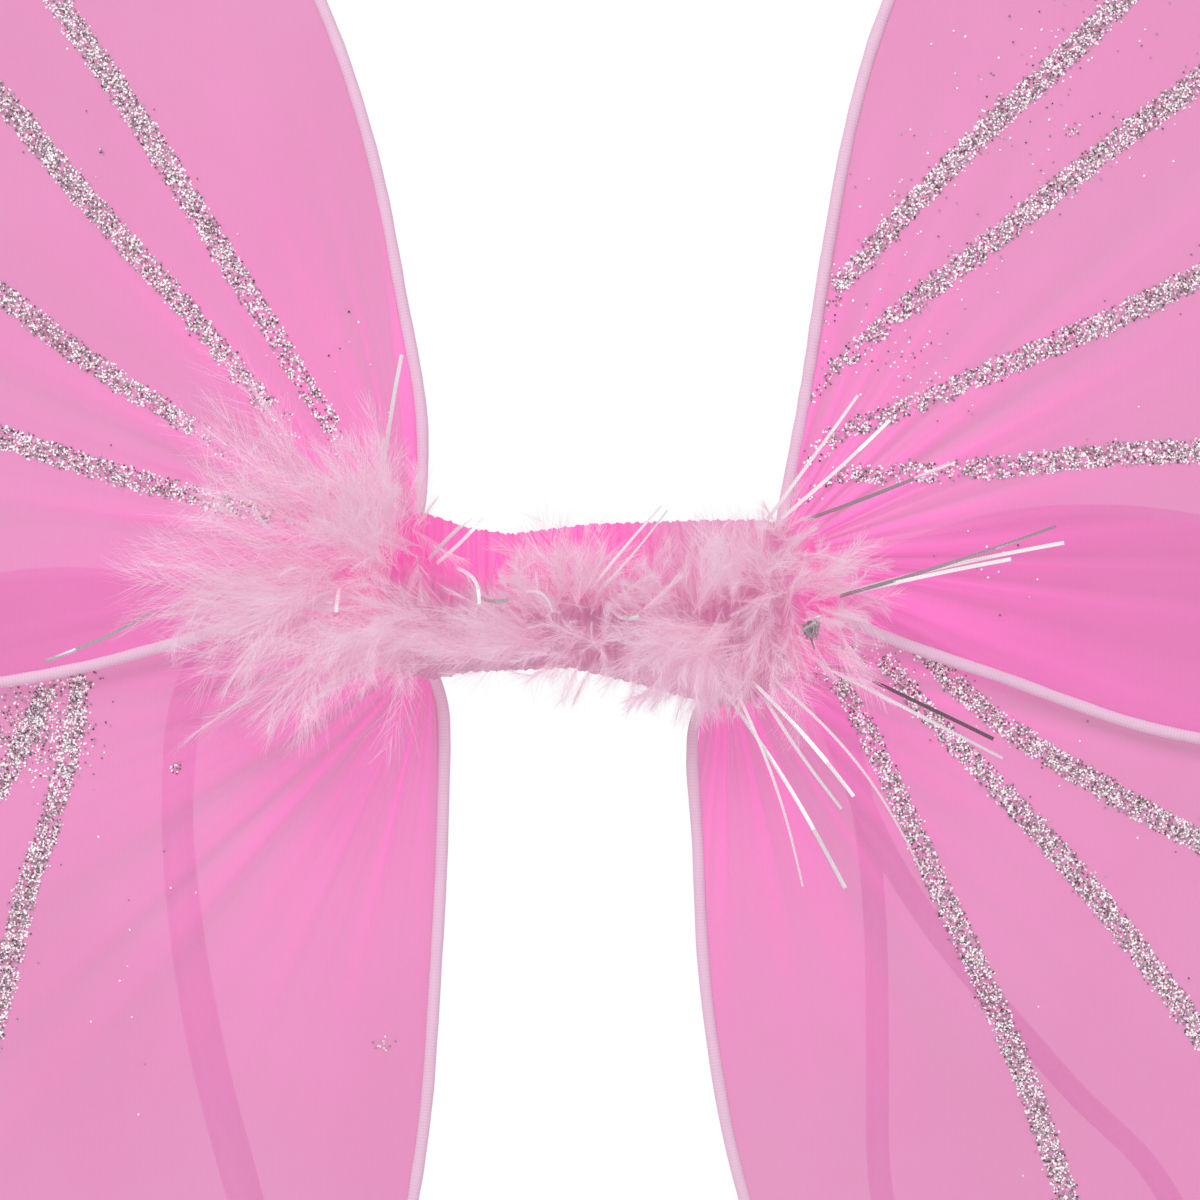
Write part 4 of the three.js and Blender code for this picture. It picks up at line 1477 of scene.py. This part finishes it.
# Each strand: x and z where it leaves the down, x and z of its tip, its painted reflection tone from dark to
# white, its bow.
TINSEL_SPRAYS = (
    TinselSpray("tinsel_right_strands", "right_tinsel", "right_root", (
        (44, 20, 65.5, 50, 1.0, 0.0), (46, 19, 73.3, 44, 1.0, -0.01), (54, 20, 89.5, 34, 0.5, -0.01),
        (62, 1, 114, 18, 0.5, -0.01), (62, 1.5, 116, 14, 1.0, 0.015), (64, 1.5, 103, 10, 1.0, 0.01),
        (70, -20, 98.7, -34, 0.12, 0.0), (60, -17.5, 101, -38.7, 0.9, 0.0),
        (37, -24, 52, -70, 1.0, 0.03), (33, -22, 62.5, -70.5, 0.85, 0.02),
        (40, -20, 64.5, -48, 0.95, 0.02), (46, -20, 81, -66, 0.95, 0.06),
        (43, -24, 61.5, -51, 0.9, -0.02)), seed=81, knot=(54.5, -7.3, 2.3, 80)),
    TinselSpray("tinsel_middle_strands", "tinsel_middle", "centre", (
        (0, 2.5, 17.5, 23, 1.0, 0.01), (2, 2, 19, 22, 0.9, -0.02), (-17, 2, -9, -3, 0.9, 0.25),
        (5, -2, 12, -4, 0.8, -0.2), (-30, 3, -20, 0, 0.6, -0.15)), seed=82),
    TinselSpray("tinsel_left_strands", "left_tinsel", "left_root", (
        (-108, -3, -133, -15, 0.6, 0.03), (-51, 34, -46, 60, 0.9, 0.0),
        (-62, 3, -62, -3, 1.0, 0.02), (-40, 10, -28, 21, 0.85, 0.02),
        (-38, 9, -26, 20, 1.0, -0.03), (-33, 8, -27, -1, 1.0, 0.2)), seed=83),
)


# ------------------------------------------------------------------ the centre and the roots


@dataclass(frozen=True)
class GatheredNylon:
    """Part of the rucked nylon that joins the four wings behind the down.

    Attributes:
        name: The piece's name.
        reach: x of its two ends, in millimetres.
        bodies: The body it rides on, or the two that it crosses between.
        nodes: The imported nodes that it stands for.
    """

    name: str
    reach: tuple[float, float]
    bodies: tuple[str, ...]
    nodes: tuple[str, ...] = ()
    rucks: float = 0.34
    depth: float = 1.1 * MM
    front_y: float = -20.5 * MM
    step: float = 0.45 * MM
    rows: int = 66
    height: float = 22 * MM
    tuck: float = 6.5 * MM
    fullness: float = 1.5
    fold_x: float = 29 * MM
    fold_inner: float = 6 * MM
    fold_outer: float = 10 * MM

    @staticmethod
    def edges(x: Array) -> tuple[Array, Array]:
        """z of the cloth's lower and upper edges at each x, in metres."""
        x = x / MM
        lower = np.interp(x, (-64, -50, -40, -30, -5, 12, 26, 36, 54, 62),
                          (-5, -17, -20, -18, -17, -21, -25, -27, -18, -9))
        upper = np.interp(x, (-64, -50, -42, -30, -20, 0, 30, 44, 54, 62),
                          (5, 18, 22, 18, 16.5, 19, 20, 20, 16, 5))
        return lower * MM, upper * MM

    def build(self) -> None:
        start, end = (x * MM for x in self.reach)
        columns = round((end - start) / self.step) + 1
        x, v = np.meshgrid(np.linspace(start, end, columns), np.linspace(0, 1, self.rows))
        x, v = x.ravel(), v.ravel()
        lower, upper = self.edges(x)
        rng = np.random.default_rng(91)
        spots = np.stack([x, v * self.height], -1)
        phase = self.rucks * 2 * math.pi * x / MM + 2.6 * wander(spots, rng, 24 * MM) + 2.5 * v
        ruck = 0.5 * np.sin(phase) + 0.35 * np.sin(2.3 * phase + 1) + 0.2 * np.sin(4.1 * phase)
        z = lower + (upper - lower) * v + 0.4 * MM * ruck * (2 * v - 1)
        bulge = np.sin(math.pi * v) ** 0.55
        turned = np.clip((43 - np.abs(x) / MM) / 10, 0, 1)
        y = self.front_y + (1 - bulge) * turned * self.tuck - self.depth * 0.7 * ruck
        # Deeper pink and denser along the top and at the ends, paler mauve lower down, and changing with
        # each ruck.
        top = np.clip((v - 0.42) * 3.2, 0, 1) * np.clip(1.15 - np.clip(x / MM - 4, 0, None) / 22, 0.25, 1)
        ends = np.clip((np.abs(x) / MM - 47) / 8, 0, 1)
        gather = np.clip(np.maximum(top, ends) * (0.85 + 0.3 * ruck), 0, 1)
        points = np.stack([x, y, z], -1)
        faces = facing_front(points, grid_faces(self.rows, columns))
        cloth = mesh_object(self.name, points, faces, GATHERED.material(), gather=gather)
        if len(self.bodies) == 2:
            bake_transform(cloth)
        else:
            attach(cloth, self.bodies[0])
        if self.nodes:
            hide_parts(*self.nodes)
        LOG.info("%s: %d triangles", self.name, 2 * len(cloth.data.polygons))


GATHERS = (
    GatheredNylon("gathered_nylon_centre", (-22, 22), ("centre",), ("gathered_nylon",)),
    GatheredNylon("gathered_nylon_left", (-64, -22), ("centre", "left_root")),
    GatheredNylon("gathered_nylon_right", (22, 62), ("centre", "right_root")),
)


@dataclass(frozen=True)
class BackPad:
    """A felt pad with rounded corners and a stitched edge, for the wearer's back."""

    node: str = "back_pad"
    corner: float = 12 * MM
    stitch_inset: float = 3.2 * MM
    stitch_length: float = 2.6 * MM
    stitch_gap: float = 1.1 * MM
    groove_width: float = 0.7 * MM
    groove_depth: float = 0.45 * MM
    edge_drop: float = 0.5 * MM
    rise_width: float = 4 * MM
    fuzz: float = 0.09 * MM
    fuzz_size: float = 7 * MM
    thread_radius: float = 0.26 * MM
    thread_hump: float = 0.38 * MM
    thread_sink: float = 0.42 * MM
    thread_stations: int = 7
    thread_corners: int = 6

    @property
    def groove(self) -> float:
        """Distance of the stitched groove from the pad's edge."""
        return self.stitch_inset + self.groove_width / 2

    def build(self) -> None:
        """Makes the felt and its stitches."""
        low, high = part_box(self.node)
        Bench.clear()
        bpy.ops.mesh.primitive_cube_add(size=1, location=(low + high) / 2)
        bpy.context.active_object.scale = high - low
        pad = Bench.named("felt_pad", FELT.material())
        Bench.pick(pad, lambda centre, normal: False)
        bpy.ops.mesh.select_mode(type="EDGE")
        bpy.ops.object.mode_set(mode="OBJECT")
        for edge in pad.data.edges:
            a, b = (pad.data.vertices[i].co for i in edge.vertices)
            edge.select = abs((a - b).normalized().y) > 0.9
        bpy.ops.object.mode_set(mode="EDIT")
        bpy.ops.mesh.bevel(offset=self.corner, segments=12)
        bpy.ops.object.mode_set(mode="OBJECT")
        Bench.pick(pad, lambda centre, normal: abs(normal.y) > 0.9)
        bpy.ops.mesh.inset(thickness=self.stitch_inset)
        bpy.ops.mesh.inset(thickness=self.groove_width)
        bpy.ops.mesh.inset(thickness=self.rise_width)
        bpy.ops.object.mode_set(mode="OBJECT")
        middle = (low + high) / 2
        for vertex in pad.data.vertices:
            inset = self.edge_distance(vertex.co, low, high)
            outwards = 1 if vertex.co.y > middle.y else -1
            if abs(inset - self.groove) < 0.5 * MM:
                vertex.co.y -= outwards * self.groove_depth
            elif inset < 0.5 * MM:
                vertex.co.y -= outwards * self.edge_drop
        Bench.finish(pad, "SUBSURF", levels=3, render_levels=3)
        rng = np.random.default_rng(92)
        points = np.array([v.co for v in pad.data.vertices])
        fuzz = wander(points, rng, self.fuzz_size) * self.fuzz
        for vertex, lift in zip(pad.data.vertices, fuzz):
            vertex.co.y = min(vertex.co.y + lift, high.y)
        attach(pad, "centre")
        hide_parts(self.node)
        self.stitches(low, high)
        LOG.info("back pad: felt with a stitched edge")

    def edge_distance(self, point: Vector, low: Vector, high: Vector) -> float:
        """Distance from the pad's outline to a point inside it, across the pad's face."""
        x = abs(point.x - (low.x + high.x) / 2) - (high.x - low.x) / 2 + self.corner
        z = abs(point.z - (low.z + high.z) / 2) - (high.z - low.z) / 2 + self.corner
        return self.corner - (math.hypot(max(x, 0), max(z, 0)) + min(max(x, z), 0))

    def stitches(self, low: Vector, high: Vector) -> None:
        """A row of thread round the pad's edge, on both faces."""
        radius = self.corner - self.groove
        half = np.array([(high.x - low.x) / 2 - self.corner, (high.z - low.z) / 2 - self.corner])
        ring = []
        for quarter in range(4):
            turn = np.linspace(0, math.pi / 2, 12) + quarter * math.pi / 2
            sign = np.sign([math.cos(turn[5]), math.sin(turn[5])])
            ring.append(sign * half + radius * np.stack([np.cos(turn), np.sin(turn)], -1))
        ring = np.vstack([*ring, ring[0][:1]])
        along = run_lengths(ring)
        count = round(along[-1] / (self.stitch_length + self.stitch_gap))
        starts = np.arange(count) * along[-1] / count
        pieces, faces, total = [], [], 0
        for face_y, outwards in ((high.y, 1), (low.y, -1)):
            for start in starts:
                at = start + np.linspace(0, self.stitch_length, self.thread_stations)
                x, z = (np.interp(at, along, ring[:, k]) for k in range(2))
                hump = (np.sin(np.linspace(0, math.pi, self.thread_stations)) * self.thread_hump
                        - self.thread_sink)
                y = face_y + outwards * np.minimum(hump, -0.30 * MM if outwards > 0 else hump)
                path = np.stack([x, y, z], -1)
                sides, lifts = carried_frames(path, np.array([0.1, 0, 1.0]))
                spots = tube_points(path, sides, lifts, self.thread_radius, self.thread_radius,
                                    self.thread_corners)
                pieces.append(spots)
                faces.append(grid_faces(len(path), self.thread_corners, closed=True) + total)
                total += len(spots)
        thread = mesh_object("pad_stitches", np.vstack(pieces), np.vstack(faces), HEM.material(),
                             rib=np.full(total, 0.9))
        close_ends(thread)
        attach(thread, "centre")


def lap_edge(turn: Array) -> Array:
    """How much a place shows the tape's frayed edge, from its part of a turn."""
    return np.clip((turn - 0.86) * 8, 0, 1) * 0.6


@dataclass(frozen=True)
class TapeWrap:
    """Cloth tape wound in overlapping turns round a straight bundle."""

    name: str
    node: str
    body: str
    start: Triple
    end: Triple
    half_width: float
    half_depth: float
    pitch: float = 4.2 * MM
    wall: float = 0.28 * MM
    crease: float = 0.05 * MM
    step: float = 0.25 * MM
    corners: int = 48

    def build(self) -> None:
        """Winds the tape: a sleeve stepped where each turn laps the one before."""
        start, end = np.array(self.start), np.array(self.end)
        length = float(np.linalg.norm(end - start))
        rows = max(12, int(length / self.step))
        u = np.linspace(0, 1, rows)
        path = start + np.outer(u, end - start)
        tangent = unit(end - start)
        lift = unit(np.array([0.0, -1.0, 0.0]) - tangent * np.dot([0.0, -1.0, 0.0], tangent))
        sides = np.tile(np.cross(lift, tangent), (rows, 1))
        lifts = np.tile(lift, (rows, 1))
        angle = ring_angles(self.corners)
        turn = (u[:, None] * length / self.pitch + angle[None] / (2 * math.pi)) % 1.0
        rng = np.random.default_rng(len(self.name) * 7 + 3)
        crease = self.crease * np.sin(9 * angle)[None] * np.sin(u * length / (3 * MM))[:, None]
        swell = (self.wall * (turn - 1) + crease).ravel()
        centre = np.repeat(path, self.corners, axis=0)
        swell = swell + wander(centre, rng, 6 * MM) * 0.04 * MM
        points = tube_points(path, sides, lifts, self.half_width, self.half_depth, self.corners)
        points = points + unit(points - centre) * swell[:, None]
        wrap = mesh_object(self.name, points, grid_faces(rows, self.corners, closed=True),
                           TAPE.material(), edge=lap_edge(turn).ravel())
        close_ends(wrap)
        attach(wrap, self.body)
        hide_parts(self.node)
        LOG.info("%s: %.0f mm of tape wrap", self.name, length / MM)


@dataclass(frozen=True)
class RootBinding:
    """The taped bundle at one wing root, from the spine's end out to both wings."""

    side: Side
    grain: float = 0.45 * MM
    merge: float = 0.02 * MM
    pitch: float = 3.6 * MM
    wall: float = 0.3 * MM

    def build(self) -> None:
        """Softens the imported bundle's shape and winds tape over it."""
        node = f"{self.side.word}_root_binding"
        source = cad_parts[node]
        body = source.copy()
        body.data = source.data.copy()
        bpy.context.scene.collection.objects.link(body)
        body.name = body.data.name = f"{self.side.word}_taped_root"
        shape = bmesh.new()
        shape.from_mesh(body.data)
        bmesh.ops.remove_doubles(shape, verts=shape.verts, dist=self.merge)
        shape.to_mesh(body.data)
        shape.free()
        Bench.finish(body, "REMESH", mode="VOXEL", voxel_size=self.grain)
        Bench.finish(body, "SMOOTH", factor=0.6, iterations=6)
        low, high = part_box(node)
        centre = np.array((low + high) / 2)
        points = np.array([v.co for v in body.data.vertices])
        normals = np.array([v.normal for v in body.data.vertices])
        lean = unit(np.array([self.side.value * 0.5, 0.0, 0.86]))
        turn = ((points - centre) @ lean / self.pitch
                + 0.5 * np.sin(points[:, 0] / (5 * MM))) % 1.0
        height = self.wall * (turn - 0.9)
        points = points + normals * height[:, None]
        body.data.vertices.foreach_set("co", points.astype(np.float32).ravel())
        set_values(body.data, "edge", lap_edge(turn))
        body.data.materials.clear()
        body.data.materials.append(TAPE.material())
        body.data.polygons.foreach_set("use_smooth", np.ones(len(body.data.polygons), bool))
        body.data.update()
        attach(body, f"{self.side.word}_root")
        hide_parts(node)
        LOG.info("%s root: %d triangles", self.side.word, 2 * len(body.data.polygons))


@dataclass(frozen=True)
class StrapAnchor:
    """The folded tape tab that holds both ends of an arm strap."""

    side: Side
    edge: float = 1.1 * MM
    stitch_rows: tuple[float, ...] = (0.3, 0.7)
    stitch_dent: float = 0.35 * MM
    face_inset: float = 0.12 * MM
    rounding: float = 0.5 * MM

    def build(self) -> None:
        """Makes the folded tab, its rounded edges and two rows of stitches."""
        node = f"{self.side.word}_strap_anchor"
        low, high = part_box(node)
        Bench.clear()
        bpy.ops.mesh.primitive_cube_add(size=1, location=(low + high) / 2)
        bpy.context.active_object.scale = high - low
        tab = Bench.named(f"{self.side.word}_anchor_tab", TAPE.material())
        bpy.ops.object.mode_set(mode="EDIT")
        bpy.ops.mesh.select_all(action="SELECT")
        bpy.ops.mesh.subdivide(number_cuts=9)
        bpy.ops.object.mode_set(mode="OBJECT")
        size, middle = high - low, (high + low) / 2
        for vertex in tab.data.vertices:
            u = (vertex.co.x - low.x) / size.x
            dent = sum(math.exp(-((u - row) / 0.06) ** 2) for row in self.stitch_rows)
            side = 1 if vertex.co.y > middle.y else -1
            if abs(vertex.co.y - middle.y) > 0.45 * size.y:
                vertex.co.y -= side * (self.stitch_dent * dent + self.face_inset)
        Bench.finish(tab, "BEVEL", width=self.rounding, segments=3, limit_method="ANGLE")
        Bench.finish(tab, "SUBSURF", levels=1, render_levels=1)
        near = [0.5 * float(min(abs(v.co.z - low.z), abs(v.co.z - high.z)) < self.edge)
                for v in tab.data.vertices]
        set_values(tab.data, "edge", near)
        for polygon in tab.data.polygons:
            polygon.use_smooth = True
        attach(tab, f"{self.side.word}_root")
        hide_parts(node)
        LOG.info("%s strap anchor", self.side.word)


def tape_wraps() -> tuple[TapeWrap, ...]:
    """The tape round the spine and round each wing's wire ends, sized from the frame."""
    low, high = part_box("centre_binding")
    radius = (high.z - low.z) / 2
    y = (low.y + high.y) / 2
    wraps = [TapeWrap("spine_wrap", "centre_binding", "centre", (low.x, y, 0), (high.x, y, 0),
                      radius, radius)]
    for wing in WINGS:
        start = wing.root + wing.along * 0.5 * MM
        end = wing.root + wing.along * 4.5 * MM
        wraps.append(TapeWrap(f"{wing.name}_tie_wrap", f"{wing.name}_wing_tie", f"{wing.name}_wing",
                              (start[0], wing.plane_y, start[1]), (end[0], wing.plane_y, end[1]),
                              half_width=3.1 * MM, half_depth=1.9 * MM, pitch=2 * MM,
                              wall=0.2 * MM))
    return tuple(wraps)


def dress_wires() -> None:
    """Gives the wires their drawn steel."""
    names = [f"{wing.name}_wing_wire" for wing in WINGS] + [f"spine_wire_{i}" for i in range(1, 5)]
    for name in names:
        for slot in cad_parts[name].material_slots:
            slot.material = STEEL.material()


def main() -> None:
    """Builds the wings, outside in."""
    logging.basicConfig(level=logging.INFO, format="%(message)s")
    Bench.clear()
    stage = Stage()
    stage.camera()
    for strap in ARM_STRAPS:
        strap.build()
    stage.lights()
    stage.floor()
    for wing in WINGS:
        wing.build()
        for number, (strays, reach) in enumerate(wing.strays, start=1):
            GlitterVein(wing, number, strays, reach * MM).build()
    for gather in GATHERS:
        gather.build()
    for tuft in MARABOU:
        tuft.build()
    for spray in TINSEL_SPRAYS:
        spray.build()
    BackPad().build()
    for wrap in tape_wraps():
        wrap.build()
    for side in Side:
        RootBinding(side).build()
        StrapAnchor(side).build()
    dress_wires()


if __name__ == "__main__":
    main()
